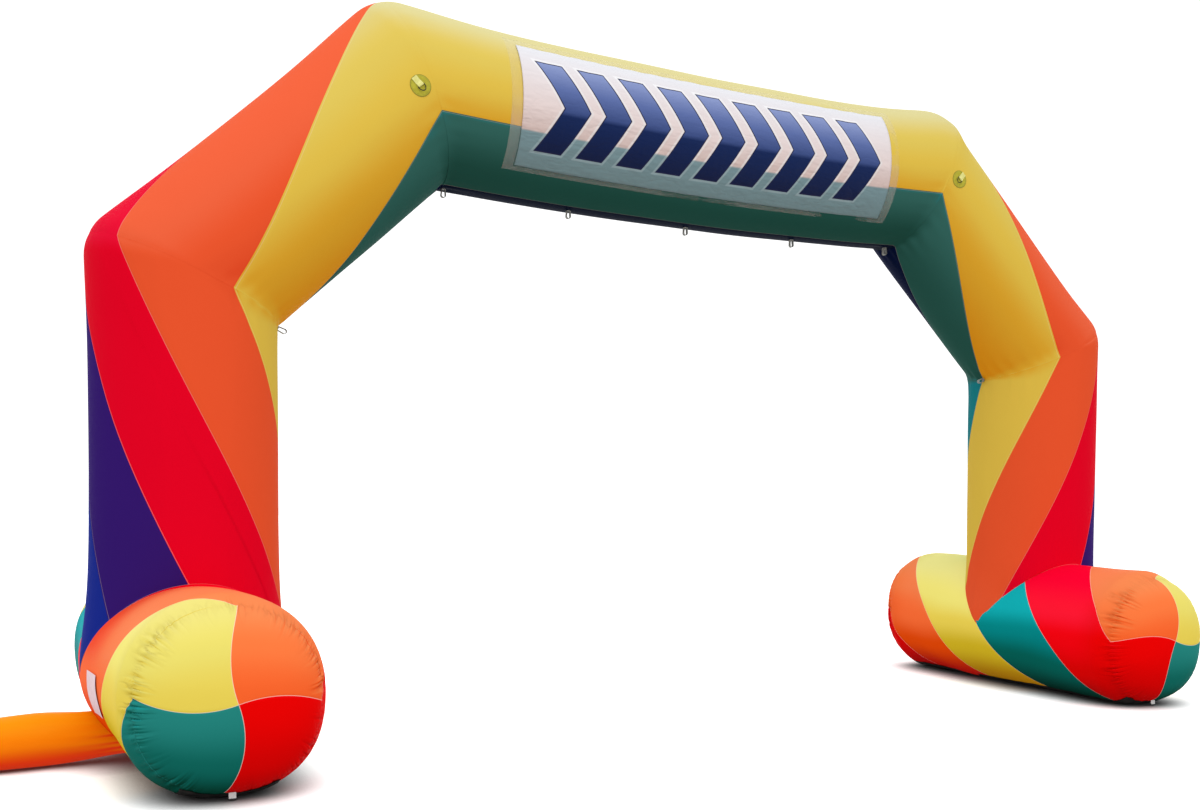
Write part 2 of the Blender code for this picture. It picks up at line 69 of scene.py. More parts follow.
# The arch's own origin in the row frame, and the sizes that its pieces share.
ARCH_X = 0.2278
TUBE_RADIUS = 0.500
SHOULDER_TUBE_RADIUS = 0.503
ELBOW = (3.214, 2.684)
SHOULDER = (1.933, 3.893)
BEAM_SAG = 0.043
FOOT_X = 3.248
FOOT_RADIUS = 0.506
FOOT_AXIS_HEIGHT = 0.498
SEAM_TRIM = 0.0001
JUNCTION_BULGE = 0.034      # leg and foot swell out where they are sewn together
JUNCTION_REACH = 0.34
BASE_REACH = 0.24           # how far up a leg the last widening of its base goes
FORM_START = 0.35           # along a foot, where its end's own form sets in and is full
FORM_FULL = 1.10
FOOT_BANDS = 4
BAND_DEG = 360.0 / FOOT_BANDS
ARCH_SHIFT = np.array([ARCH_X, 0.0, 0.0])
UP = np.array([0.0, 0.0, 1.0])
FORWARD = np.array([0.0, -1.0, 0.0])

Array = np.ndarray
Piece = bpy.types.Object
Material = bpy.types.Material
Rgb = tuple[float, float, float]
Stops = Sequence[tuple[float, Rgb]]
Pair = tuple[float, float]
Waves = tuple[int, int]


class Half(Enum):
    """One of two halves, with the sign of its side of the middle."""

    @property
    def word(self) -> str:
        """The half's name in node names."""
        return self.name.lower()


class Side(Half):
    """The two halves of the arch, with the sign of their X."""

    LEFT = -1.0
    RIGHT = 1.0


class End(Half):
    """The two ends of a foot tube, with the sign of their Y."""

    FRONT = -1.0
    BACK = 1.0


# ------------------------------------------------------------------ mesh work
class Skin:
    """Collects grids and fans of points, with two UV numbers for each corner."""

    SHARP_DEG: ClassVar[float] = 50.0

    def __init__(self) -> None:
        """Start with nothing in the mesh."""
        self.points: list[Array] = []
        self.faces: list[Array] = []
        self.corner_uv: list[Array] = []
        self.count = 0

    def add_points(self, points: Array) -> int:
        """Add points.

        Args:
            points: array whose last axis is x, y, z.

        Returns:
            Number of the first new point.
        """
        first = self.count
        flat = points.reshape(-1, 3)
        self.points.append(flat)
        self.count += len(flat)
        return first

    def grid(self, points: Array, uv: Array, closed: bool) -> Array:
        """Add a grid of four-cornered faces, whose numbers run row by row.

        Args:
            points: rows x columns x 3.
            uv: rows x columns x 2, with one more column where the grid is closed.
            closed: whether the last column joins the first.

        Returns:
            Point numbers, rows x columns.
        """
        rows, columns = points.shape[:2]
        numbers = self.add_points(points) + np.arange(rows * columns).reshape(rows, columns)
        ring = np.concatenate([numbers, numbers[:, :1]], axis=1) if closed else numbers
        self.faces.append(four_corners(ring).reshape(-1, 4))
        self.corner_uv.append(four_corners(uv).reshape(-1, 2))
        return numbers

    def fan(self, ring: Array, centre: Array, uv: Array) -> None:
        """Close a ring of points with triangles that meet in one centre point.

        Args:
            ring: numbers of the ring's points, in the order that faces outwards.
            centre: the point where the triangles meet.
            uv: UV of the ring's corners, one more than the ring has points.
        """
        middle = self.add_points(centre[None, :])
        after = np.roll(ring, -1)
        self.faces.append(np.stack([ring, after, np.full_like(ring, middle)], axis=1))
        inner = 0.5 * (uv[:-1] + uv[1:])
        self.corner_uv.append(np.stack([uv[:-1], uv[1:], inner], axis=1).reshape(-1, 2))

    def widen(self, coarse: Array, fine: Array, uv_coarse: Array, uv_fine: Array) -> None:
        """Join a coarse ring to a ring that has a whole multiple of its points.

        Args:
            coarse: point numbers of the coarse ring.
            fine: point numbers of the fine ring.
            uv_coarse: UV along the coarse ring, with one more entry.
            uv_fine: UV along the fine ring, with one more entry.
        """
        times = len(fine) // len(coarse)
        low = np.stack([np.roll(coarse, -1), coarse], axis=1)
        steps = np.arange(len(coarse))[:, None] * times + np.arange(times + 1)[None, :]
        high = fine[steps % len(fine)]
        self.faces.append(np.concatenate([low, high], axis=1))
        low_uv = np.stack([uv_coarse[1:], uv_coarse[:-1]], axis=1)
        self.corner_uv.append(np.concatenate([low_uv, uv_fine[steps]], axis=1).reshape(-1, 2))

    def mesh(self, name: str, outward: bool = True) -> bpy.types.Mesh:
        """Make the mesh.

        Args:
            name: the mesh's name.
            outward: turn a closed shape so that its volume counts as positive.

        Returns:
            A smooth-shaded mesh with the UV map cloth, whose steep edges stay sharp.
        """
        points = np.concatenate(self.points)
        if outward and signed_volume(points, self.faces) < 0.0:
            uv_sets = [uv.reshape(len(f), -1, 2) for f, uv in zip(self.faces, self.corner_uv)]
            self.faces = [f[:, ::-1] for f in self.faces]
            self.corner_uv = [uv[:, ::-1].reshape(-1, 2) for uv in uv_sets]
        sizes = np.concatenate([np.full(len(f), f.shape[1]) for f in self.faces])
        corners = np.concatenate([f.ravel() for f in self.faces])
        made = bpy.data.meshes.new(name)
        made.vertices.add(len(points))
        made.vertices.foreach_set("co", points.astype(np.float32).ravel())
        made.loops.add(len(corners))
        made.loops.foreach_set("vertex_index", corners.astype(np.int32))
        made.polygons.add(len(sizes))
        made.polygons.foreach_set("loop_start", (np.cumsum(sizes) - sizes).astype(np.int32))
        made.update(calc_edges=True)
        layer = made.uv_layers.new(name="cloth")
        layer.uv.foreach_set("vector", np.concatenate(self.corner_uv).astype(np.float32).ravel())
        made.shade_smooth()
        made.set_sharp_from_angle(angle=math.radians(self.SHARP_DEG))
        return made


def four_corners(grid: Array) -> Array:
    """Each cell's four corners, round the cell.

    Args:
        grid: rows x columns, with any further axes.

    Returns:
        (rows - 1) x (columns - 1) x 4, with the same further axes.
    """
    return np.stack([grid[:-1, :-1], grid[:-1, 1:], grid[1:, 1:], grid[1:, :-1]], axis=2)


def signed_volume(points: Array, faces: Sequence[Array]) -> float:
    """Six times the volume inside the faces, as a sum of tetrahedra to the middle.

    Args:
        points: every point of the shape.
        faces: arrays of point numbers, one array for each face size.

    Returns:
        A positive number where the faces look outwards.
    """
    middle = points.mean(axis=0)
    total = 0.0
    for group in faces:
        corner = points[group] - middle
        for k in range(1, group.shape[1] - 1):
            turned = np.cross(corner[:, k], corner[:, k + 1])
            total += float(np.sum(corner[:, 0] * turned))
    return total


def crowd_to_ends(steps: int, share: float) -> Array:
    """Places from 0 to 1 that lie closer together near both ends.

    Args:
        steps: number of steps.
        share: 0 gives even steps and 1 a full cosine.

    Returns:
        steps + 1 places: a blend of an even row and a half cosine wave.
    """
    even = np.linspace(0.0, 1.0, steps + 1)
    return (1.0 - share) * even + share * 0.5 * (1.0 - np.cos(math.pi * even))


def bump_at(distance: Array, width: float) -> Array:
    """A bell that is 1 at no distance and fades over a width."""
    return np.exp(-(distance / width) ** 2)


def smooth_step(low: float, high: float, value: Array) -> Array:
    """A soft step from 0 at low to 1 at high."""
    t = np.clip((value - low) / (high - low), 0.0, 1.0)
    return t * t * (3.0 - 2.0 * t)


class Ripple:
    """A wave round a closed line, made of cosines with fixed random phases."""

    MOST_PARTS: ClassVar[int] = 24

    def __init__(self, seed: int, low: int, high: int) -> None:
        """Choose the wave's parts.

        Args:
            seed: fixes the phases.
            low: fewest waves round the line.
            high: most waves round the line.
        """
        draw = np.random.default_rng(seed)
        self.counts = np.unique(np.linspace(low, high, self.MOST_PARTS).round().astype(int))
        self.phases = draw.uniform(0.0, 2.0 * math.pi, len(self.counts))
        self.heights = draw.uniform(0.5, 1.0, len(self.counts))
        self.scale = math.sqrt(2.0 / float(np.sum(self.heights ** 2)))

    def __call__(self, turn: Array) -> Array:
        """Height of the wave: the sum of its cosines.

        Args:
            turn: angles in radians.

        Returns:
            The heights, whose spread is 1.
        """
        total = np.zeros_like(turn)
        for count, phase, height in zip(self.counts, self.phases, self.heights):
            total += height * np.cos(count * turn + phase)
        return total * self.scale


# ------------------------------------------------------------------- shaders
class Socket:
    """A number in a node tree; arithmetic on it adds Math nodes."""

    def __init__(self, nodes: "Nodes", link: Any) -> None:
        """Keep the tree and the output socket or plain number."""
        self.nodes = nodes
        self.link = link

    def math(self, operation: str, *others: Any) -> "Socket":
        """Add one Math node.

        Args:
            operation: Blender's name of the operation.
            others: further inputs, as numbers or sockets.

        Returns:
            The node's result.
        """
        inputs = {i: value for i, value in enumerate((self, *others))}
        made = self.nodes.add("ShaderNodeMath", {"operation": operation}, inputs)
        return Socket(self.nodes, made.outputs[0])

    def __add__(self, other: Any) -> "Socket":
        """Sum."""
        return self.math("ADD", other)

    __radd__ = __add__

    def __sub__(self, other: Any) -> "Socket":
        """Difference."""
        return self.math("SUBTRACT", other)

    def __rsub__(self, other: Any) -> "Socket":
        """Difference with a number first."""
        return Socket(self.nodes, other).math("SUBTRACT", self)

    def __mul__(self, other: Any) -> "Socket":
        """Product."""
        return self.math("MULTIPLY", other)

    __rmul__ = __mul__

    def __truediv__(self, other: Any) -> "Socket":
        """Quotient."""
        return self.math("DIVIDE", other)

    def __abs__(self) -> "Socket":
        """Size without sign."""
        return self.math("ABSOLUTE")

    def __mod__(self, other: Any) -> "Socket":
        """Remainder that is never negative."""
        return self.math("FLOORED_MODULO", other)

    def least(self, other: Any) -> "Socket":
        """The smaller of two."""
        return self.math("MINIMUM", other)

    def most(self, other: Any) -> "Socket":
        """The larger of two."""
        return self.math("MAXIMUM", other)

    def sine(self) -> "Socket":
        """Sine of an angle in radians."""
        return self.math("SINE")

    def above(self, other: Any) -> "Socket":
        """1 where this is greater, else 0."""
        return self.math("GREATER_THAN", other)

    def step(self, low: float, high: float) -> "Socket":
        """Soft step.

        Args:
            low: where it is 0, which may be the larger of the two.
            high: where it is 1.

        Returns:
            The step, from 0 to 1.
        """
        made = self.nodes.add("ShaderNodeMapRange", {"interpolation_type": "SMOOTHSTEP"},
                              {"Value": self, "From Min": low, "From Max": high})
        return Socket(self.nodes, made.outputs["Result"])


class Owner(Enum):
    """What a node tree belongs to, with the shader that it starts with."""

    MATERIAL = "Principled BSDF"
    WORLD = "Background"


class Nodes:
    """The node tree of a new material or world, with a single way to add a node."""

    def __init__(self, name: str, owner: Owner = Owner.MATERIAL) -> None:
        """Make a material or world that holds only its shader and its output.

        Args:
            name: its name.
            owner: which of the two.
        """
        made = bpy.data.worlds if owner is Owner.WORLD else bpy.data.materials
        self.owner = made.new(name)
        self.owner.use_nodes = True
        self.tree = self.owner.node_tree
        self.shader = self.tree.nodes[owner.value]

    def add(self, kind: str, settings: dict[str, Any] | None = None,
            inputs: dict[Any, Any] | None = None) -> bpy.types.Node:
        """Add a node.

        Args:
            kind: Blender's type name.
            settings: the node's own properties, set before its sockets.
            inputs: values or links by socket name or number.

        Returns:
            The new node.
        """
        node = self.tree.nodes.new(kind)
        for key, value in (settings or {}).items():
            if key == "stops":
                fill_ramp(node.color_ramp, value)
            else:
                setattr(node, key, value)
        for key, value in (inputs or {}).items():
            self.feed(node.inputs[key], value)
        return node

    def feed(self, socket: bpy.types.NodeSocket, value: Any) -> None:
        """Fill an input.

        Args:
            socket: the input.
            value: a number, a colour, a wrapped number or another node's output.
        """
        value = value.link if isinstance(value, Socket) else value
        if isinstance(value, bpy.types.NodeSocket):
            self.tree.links.new(value, socket)
        elif isinstance(value, tuple) and socket.type == "RGBA":
            socket.default_value = (*value[:3], 1.0)
        else:
            socket.default_value = value

    def shade(self, **inputs: Any) -> Any:
        """Feed the shader.

        Args:
            inputs: values by input name, with an underscore for each space.

        Returns:
            The finished material or world.
        """
        for key, value in inputs.items():
            self.feed(self.shader.inputs[key.replace("_", " ")], value)
        return self.owner

    def place(self) -> Any:
        """Object coordinates."""
        return self.add("ShaderNodeTexCoord").outputs["Object"]

    def parts(self, vector: Any) -> tuple[Socket, ...]:
        """The three numbers of a vector."""
        made = self.add("ShaderNodeSeparateXYZ", None, {0: vector})
        return tuple(Socket(self, output) for output in made.outputs)

    def cloth_uv(self) -> tuple[Socket, ...]:
        """Both numbers of the piece's own UV map."""
        uv = self.add("ShaderNodeUVMap", {"uv_map": "cloth"}).outputs[0]
        return self.parts(uv)[:2]

    def attribute(self, name: str) -> Socket:
        """A number that the mesh stores at its points."""
        made = self.add("ShaderNodeAttribute", {"attribute_name": name})
        return Socket(self, made.outputs["Fac"])

    def upward(self) -> Socket:
        """How far the surface looks up, from -1 to 1."""
        return self.parts(self.add("ShaderNodeTexCoord").outputs["Normal"])[2]

    def openness(self, reach: float) -> Socket:
        """How much of the surroundings is free within a reach: 0 in a corner, 1 outside."""
        made = self.add("ShaderNodeAmbientOcclusion", {"samples": 16}, {"Distance": reach})
        return Socket(self, made.outputs["AO"])

    def stretched(self, scale: tuple[float, float, float]) -> Any:
        """Object coordinates, scaled along each axis."""
        return self.add("ShaderNodeMapping", None,
                        {"Vector": self.place(), "Scale": scale}).outputs[0]

    def noise(self, vector: Any, scale: float, detail: float = 2.0) -> Socket:
        """A soft random pattern.

        Args:
            vector: the coordinates that it follows.
            scale: how many of its blotches fit into a unit of them.
            detail: how many finer layers are added.

        Returns:
            A value round 0.5.
        """
        made = self.add("ShaderNodeTexNoise", None,
                        {"Vector": vector, "Scale": scale, "Detail": detail})
        return Socket(self, made.outputs[0])

    def vector(self, x: Any, y: Any) -> Any:
        """A vector of two numbers."""
        return self.add("ShaderNodeCombineXYZ", None, {0: x, 1: y}).outputs[0]

    def ramp(self, factor: Socket, stops: Stops, hard: bool = False) -> Any:
        """A colour from stops of place and colour, with hard or soft changes."""
        made = self.add("ShaderNodeValToRGB", {"stops": (tuple(stops), hard)}, {0: factor})
        return made.outputs[0]

    def mix(self, factor: Any, low: Any, high: Any, way: str = "MIX") -> Any:
        """Mix two colours.

        Args:
            factor: share of the second colour.
            low: the first colour.
            high: the second colour.
            way: Blender's name for how they are mixed.

        Returns:
            The mixed colour.
        """
        settings = {"data_type": "RGBA", "blend_type": way, "clamp_factor": True}
        made = self.add("ShaderNodeMix", settings, {0: factor, 6: low, 7: high})
        return made.outputs[2]

    def bump(self, height: Socket, distance: float, strength: float, under: Any = None) -> Any:
        """Turn a height into a normal.

        Args:
            height: the height, in units of distance.
            distance: metres for a height of 1.
            strength: share of the effect.
            under: a normal that lies under this one.

        Returns:
            The normal.
        """
        inputs = {"Height": height, "Distance": distance, "Strength": strength}
        if under is not None:
            inputs["Normal"] = under
        return self.add("ShaderNodeBump", None, inputs).outputs[0]


def fill_ramp(ramp: bpy.types.ColorRamp, value: tuple[Stops, bool]) -> None:
    """Set a ramp's stops.

    Args:
        ramp: the ramp, which starts with two stops.
        value: the stops as place and colour, and whether the changes are hard.
    """
    stops, hard = value
    ramp.interpolation = "CONSTANT" if hard else "LINEAR"
    for place, _ in stops[2:]:
        ramp.elements.new(place)
    for element, (place, colour) in zip(ramp.elements, stops):
        element.position = place
        element.color = (*colour, 1.0)


# ------------------------------------------------------------------- finishes
@dataclass(frozen=True)
class DyeWithPaintedShade:
    """A cloth colour with painted shade: a tone for each way that the tube looks, up, half up,
    level, half down, down.
    """

    up: Rgb
    high: Rgb
    level: Rgb
    low: Rgb
    under: Rgb

    LOOKS: ClassVar[tuple[float, ...]] = (0.85, 0.35, 0.0, -0.40, -0.90)

    def painted_shade_tones(self) -> tuple[Rgb, ...]:
        """The five painted shade tones, from up to down."""
        return self.up, self.high, self.level, self.low, self.under


# Each dye's five tones are painted shade: the cloth's colour, lighter or darker and shifted in
# hue by how far the surface faces up.
TUBE_DYES_WITH_PAINTED_SHADE = {
    "teal": DyeWithPaintedShade((0.007, 0.20, 0.23), (0.007, 0.20, 0.23), (0.008, 0.189, 0.212),
                (0.031, 0.121, 0.100), (0.014, 0.073, 0.054)),
    "yellow": DyeWithPaintedShade((0.566, 0.517, 0.248), (0.600, 0.451, 0.083), (0.644, 0.439, 0.058),
                  (0.675, 0.347, 0.023), (0.746, 0.263, 0.004)),
    "orange": DyeWithPaintedShade((0.702, 0.102, 0.039), (0.702, 0.102, 0.039), (0.715, 0.079, 0.023),
                  (0.725, 0.061, 0.016), (0.710, 0.049, 0.010)),
    "red": DyeWithPaintedShade((0.675, 0.006, 0.032), (0.675, 0.004, 0.028), (0.684, 0.001, 0.015),
               (0.702, 0.001, 0.008), (0.570, 0.001, 0.005)),
    "purple": DyeWithPaintedShade((0.034, 0.011, 0.140), (0.032, 0.009, 0.137), (0.030, 0.008, 0.134),
                  (0.026, 0.008, 0.100), (0.016, 0.005, 0.057)),
    "blue": DyeWithPaintedShade((0.009, 0.021, 0.230), (0.009, 0.021, 0.230), (0.008, 0.020, 0.228),
                (0.003, 0.007, 0.055), (0.001, 0.004, 0.015)),
}
BARREL_DYES_WITH_PAINTED_SHADE = {
    "yellow": DyeWithPaintedShade((0.777, 0.730, 0.253), (0.828, 0.746, 0.181), (0.815, 0.629, 0.083),
                  (0.667, 0.470, 0.016), (0.437, 0.190, 0.001)),
    "orange": DyeWithPaintedShade((0.823, 0.214, 0.083), (0.879, 0.205, 0.068), (0.926, 0.147, 0.035),
                  (0.804, 0.067, 0.001), (0.481, 0.005, 0.001)),
    "red": DyeWithPaintedShade((0.860, 0.001, 0.029), (0.912, 0.008, 0.030), (0.888, 0.001, 0.005),
               (0.730, 0.001, 0.001), (0.356, 0.001, 0.001)),
    "teal": DyeWithPaintedShade((0.005, 0.385, 0.420), (0.005, 0.388, 0.417), (0.001, 0.228, 0.228),
                (0.001, 0.116, 0.092), (0.001, 0.035, 0.023)),
}
END_DYES_WITH_PAINTED_SHADE = {
    "yellow": DyeWithPaintedShade((0.696, 0.627, 0.175), (0.722, 0.630, 0.134), (0.752, 0.586, 0.084),
                  (0.640, 0.450, 0.020), (0.550, 0.250, 0.003)),
    "orange": DyeWithPaintedShade((0.776, 0.218, 0.073), (0.845, 0.172, 0.045), (0.869, 0.117, 0.023),
                  (0.780, 0.070, 0.002), (0.600, 0.011, 0.003)),
    "red": DyeWithPaintedShade((0.790, 0.006, 0.020), (0.790, 0.004, 0.010), (0.773, 0.001, 0.001),
               (0.690, 0.001, 0.001), (0.534, 0.001, 0.001)),
    "teal": DyeWithPaintedShade((0.012, 0.250, 0.240), (0.012, 0.250, 0.240), (0.017, 0.214, 0.186),
                (0.005, 0.132, 0.105), (0.001, 0.052, 0.032)),
}


@dataclass(frozen=True)
class PanelCloth:
    """Coated nylon in sewn panels: a hard colour change and a pale thread at each seam.  Its
    tones carry painted light and shade.
    """

    name: str
    painted_shade_dyes: tuple[DyeWithPaintedShade, ...]
    rim_painted_shade_dyes: tuple[DyeWithPaintedShade, ...] = ()
    rim_reach: float = 0.40
    thread: Rgb = (0.86, 0.70, 0.62)
    thread_half: float = 0.0016
    thread_strength: float = 0.55
    stitch_pitch: float = 0.004
    stitch_fade: Pair = (0.006, 0.0035)
    blotch_tone: Rgb = (0.42, 0.42, 0.42)
    # Painted shade in the pucker valleys: its tone and how strongly it is multiplied in.
    fold_painted_shade_tone: Rgb = (0.52, 0.46, 0.38)
    fold_shade: float = 0.45
    fold_depth: float = 0.0060
    folds_round: float = 15.0
    folds_off: float = 7.5
    fold_slope: float = 7.0
    crinkle_depth: float = 0.0030
    weave_scale: float = 700.0
    weave_depth: float = 0.0004
    # Painted light: the red bounce and shade that the leg casts on the barrel.
    glow_tone: Rgb = (0.93, 0.26, 0.25)
    roughness: float = 0.52
    specular: float = 0.004

    def painted_shade_colour(self, nodes: Nodes, painted_shade_dyes: tuple[DyeWithPaintedShade, ...], across: Socket) -> Any:
        """Colour of the panels, with painted shade.

        Args:
            nodes: the material's nodes.
            painted_shade_dyes: one dye for each panel.
            across: the panel's number with its fraction.

        Returns:
            The dye's tone for the way that the surface looks, painted as its light and shade.
        """
        count = len(painted_shade_dyes)
        painted_shade_tones = [nodes.ramp(across / count, [(k / count, dye.painted_shade_tones()[look])
                                             for k, dye in enumerate(painted_shade_dyes)], True)
                 for look in range(len(DyeWithPaintedShade.LOOKS))]
        # Painted shade: the tone changes with how far the surface faces up.
        up = nodes.upward()
        colour = painted_shade_tones[0]
        for look, tone in enumerate(painted_shade_tones[1:]):
            colour = nodes.mix(up.step(DyeWithPaintedShade.LOOKS[look], DyeWithPaintedShade.LOOKS[look + 1]), colour, tone)
        return colour

    def material(self) -> Material:
        """Make the material.

        Returns:
            Panels by the whole part of U, each in the painted shade tone for the way it looks.
            They pass to the rim's dyes, if any, up to the gathered seam, and redden and darken by
            the stored painted light, a painted red bounce and shade from the leg.  A thread line
            lies where the stored seam distance is small.  Puckers lie where a noise along the
            stored turn, and off the gathered seam, crosses its middle, as strong as the stored
            pucker says, and their valleys are darkened as painted shade.  A weave, a row of
            stitches and soft tension folds make the rest of the bump.
        """
        nodes = Nodes(self.name)
        across, along = nodes.cloth_uv()
        seam = nodes.attribute("seam")
        off = nodes.attribute("off")
        colour = self.painted_shade_colour(nodes, self.painted_shade_dyes, across)
        if self.rim_painted_shade_dyes:
            rim = self.painted_shade_colour(nodes, self.rim_painted_shade_dyes, across)
            colour = nodes.mix(off.step(-self.rim_reach, 0.0), colour, rim)
        blotch = nodes.noise(nodes.place(), 2.2, 3.0)
        colour = nodes.mix(abs(blotch - 0.5) * 0.5, colour, self.blotch_tone, "SOFT_LIGHT")
        pucker = nodes.attribute("pucker")
        spread = nodes.vector(nodes.attribute("turn") * self.folds_round, off * self.folds_off)
        ridge = (abs(nodes.noise(spread, 1.0, 0.5) - 0.5) * self.fold_slope).least(1.0)
        # Painted shade: the pucker valleys are darkened by the fold tone.
        valley = (1.0 - ridge) * pucker
        colour = nodes.mix(valley * self.fold_shade, colour, self.fold_painted_shade_tone, "MULTIPLY")
        # Painted light: red bounce and shade from the leg, where the mesh stores it.
        colour = nodes.mix(nodes.attribute("glow"), colour, self.glow_tone, "MULTIPLY")
        line = seam.step(self.thread_half * 1.3, self.thread_half * 0.8) * self.thread_strength
        colour = nodes.mix(line, colour, self.thread)
        weave = nodes.noise(nodes.place(), self.weave_scale, 1.0)
        stitch = (along * (2.0 * math.pi / self.stitch_pitch)).sine()
        stitch = stitch * seam.step(*self.stitch_fade)
        fine = nodes.bump(weave + stitch * 0.4, self.weave_depth, 0.35)
        crinkle = nodes.noise(nodes.stretched((1.0, 1.0, 0.6)), 11.0, 3.0)
        folded = nodes.bump(ridge * pucker, self.fold_depth, 0.9, fine)
        normal = nodes.bump(crinkle, self.crinkle_depth, 0.35, folded)
        rough = self.roughness + (nodes.noise(nodes.place(), 40.0, 2.0) - 0.5) * 0.16
        return nodes.shade(Base_Color=colour, Roughness=rough, Normal=normal,
                           Specular_IOR_Level=self.specular)


@dataclass(frozen=True)
class PrintedBanner:
    """White banner cloth with a row of blue chevrons, with the tube's colours painted as showing
    through and painted shade on its lower part.
    """

    name: str = "printed_banner"
    pitch: float = 0.276
    stroke: float = 0.166
    chevrons: int = 9
    slant: float = 0.62
    half_height: float = 0.270
    centre: float = 0.3885
    outline: float = 0.007
    surround: float = 0.022
    line: Rgb = (0.012, 0.012, 0.045)
    # Painted shade: the blue runs from light at the top to deep navy at the bottom; the ground
    # and the rim are darker low down, and show the tube's dark or pale band through.
    blue: Stops = ((0.0, (0.001, 0.005, 0.036)), (0.42, (0.003, 0.014, 0.075)),
                   (0.47, (0.036, 0.062, 0.19)), (0.70, (0.085, 0.125, 0.31)),
                   (1.0, (0.20, 0.25, 0.46)))
    ground: Stops = ((0.0, (0.14, 0.206, 0.20)), (0.49, (0.17, 0.26, 0.28)),
                     (0.50, (0.60, 0.46, 0.42)), (0.64, (0.68, 0.57, 0.55)),
                     (1.0, (0.61, 0.62, 0.66)))
    white: Stops = ((0.0, (0.20, 0.27, 0.27)), (0.49, (0.26, 0.35, 0.37)),
                    (0.50, (0.68, 0.60, 0.57)), (1.0, (0.70, 0.71, 0.74)))
    slack_height: float = 0.0060
    wave_height: float = 0.008

    def material(self) -> Material:
        """Make the material.

        Returns:
            U runs along the banner from its middle and V up from its lower edge, in
            metres.  A point is inside a chevron where its distance from the chevron's
            middle line and from the row's edges is small.  A dark line and a white
            rim lie round it.  The ground and the rim have one tone over the dark band
            of the tube and another over the pale one: the tube's colours painted as
            showing through, and painted shade that darkens the lower part.  The
            chevrons' blue is painted shade too, light at the top and deep navy low down.
        """
        nodes = Nodes(self.name)
        along, up = nodes.cloth_uv()
        shade_and_see_through = nodes.attribute("shows_through")
        height = up - self.centre
        half_row = self.chevrons * self.pitch / 2
        bent = along + (abs(height) - self.half_height / 2) * self.slant
        across = abs(((bent + half_row) % self.pitch) - self.pitch / 2)
        lean = math.cos(math.atan(self.slant))
        inside = (self.stroke / 2 - across) * lean
        inside = inside.least(self.half_height - abs(height))
        inside = inside.least(half_row - abs(bent))
        # Painted shade on the chevrons, the ground and the rim, with the tube's colours painted
        # as showing through.
        blue = nodes.ramp(height / (2.0 * self.half_height) + 0.5, self.blue)
        ground = nodes.ramp(shade_and_see_through, self.ground)
        white = nodes.ramp(shade_and_see_through, self.white)
        colour = nodes.mix(inside.step(-self.surround, -self.surround + 0.003), ground, white)
        colour = nodes.mix(inside.step(-self.outline, -self.outline + 0.002), colour, self.line)
        colour = nodes.mix(inside.step(0.0, 0.002), colour, blue)
        place = nodes.place()
        weave = nodes.noise(place, 600.0, 1.0)
        waves = nodes.noise(nodes.stretched((1.0, 0.3, 0.3)), 9.0, 2.0)
        creases = abs(nodes.noise(nodes.stretched((0.5, 1.0, 1.3)), 13.0, 2.0) - 0.5) * 4.0
        low = height.step(0.10, -0.10) * 0.6 + 0.4
        woven = nodes.bump(weave, 0.0003, 0.3)
        ruffled = nodes.bump(creases * low, self.slack_height, 0.8, woven)
        normal = nodes.bump(waves, self.wave_height, 0.7, ruffled)
        rough = 0.42 + (nodes.noise(place, 30.0) - 0.5) * 0.2
        return nodes.shade(Base_Color=colour, Roughness=rough, Normal=normal,
                           Specular_IOR_Level=0.08)


@dataclass(frozen=True)
class PocketFilm:
    """Clear film round the banner, sewn down with a double line of stitches."""

    name: str = "pocket_film"
    length: float = 2.89
    width: float = 0.886
    alpha: float = 0.02
    margin: Pair = (0.071, 0.064)
    low_margin: Pair = (0.038, 0.034)
    stitch_rows: Pair = (0.004, 0.013)
    clear: Rgb = (0.90, 0.90, 0.86)
    thread: Rgb = (0.80, 0.78, 0.66)

    def material(self) -> Material:
        """Make the material.

        Returns:
            U runs along the pocket and V across it, in metres from a corner.  The
            film is clear over the banner and milky in the margins round it, least so
            high up.
        """
        nodes = Nodes(self.name)
        along, across = nodes.cloth_uv()
        ends = along.least(self.length - along)
        edge = ends.least(across).least(self.width - across)
        margin = ends.step(*self.margin).most(across.step(*self.low_margin))
        margin = margin.most((self.width - across).step(*self.margin))
        outer, inner = (abs(edge - row) for row in self.stitch_rows)
        threads = outer.least(inner).step(0.0020, 0.0006)
        colour = nodes.mix(threads, self.clear, self.thread)
        crease = nodes.noise(nodes.stretched((1.0, 0.4, 0.4)), 18.0, 3.0)
        height = across.step(0.22, 0.52)
        haze = (margin * 0.11 + threads * 0.06) * (1.0 - height * 0.70)
        alpha = self.alpha + haze + (crease - 0.5) * margin * 0.04
        normal = nodes.bump(crease, 0.004, 0.6)
        rough = 0.20 + (crease - 0.5) * 0.2
        return nodes.shade(Base_Color=colour, Roughness=rough, Alpha=alpha, Normal=normal,
                           Specular_IOR_Level=0.15)


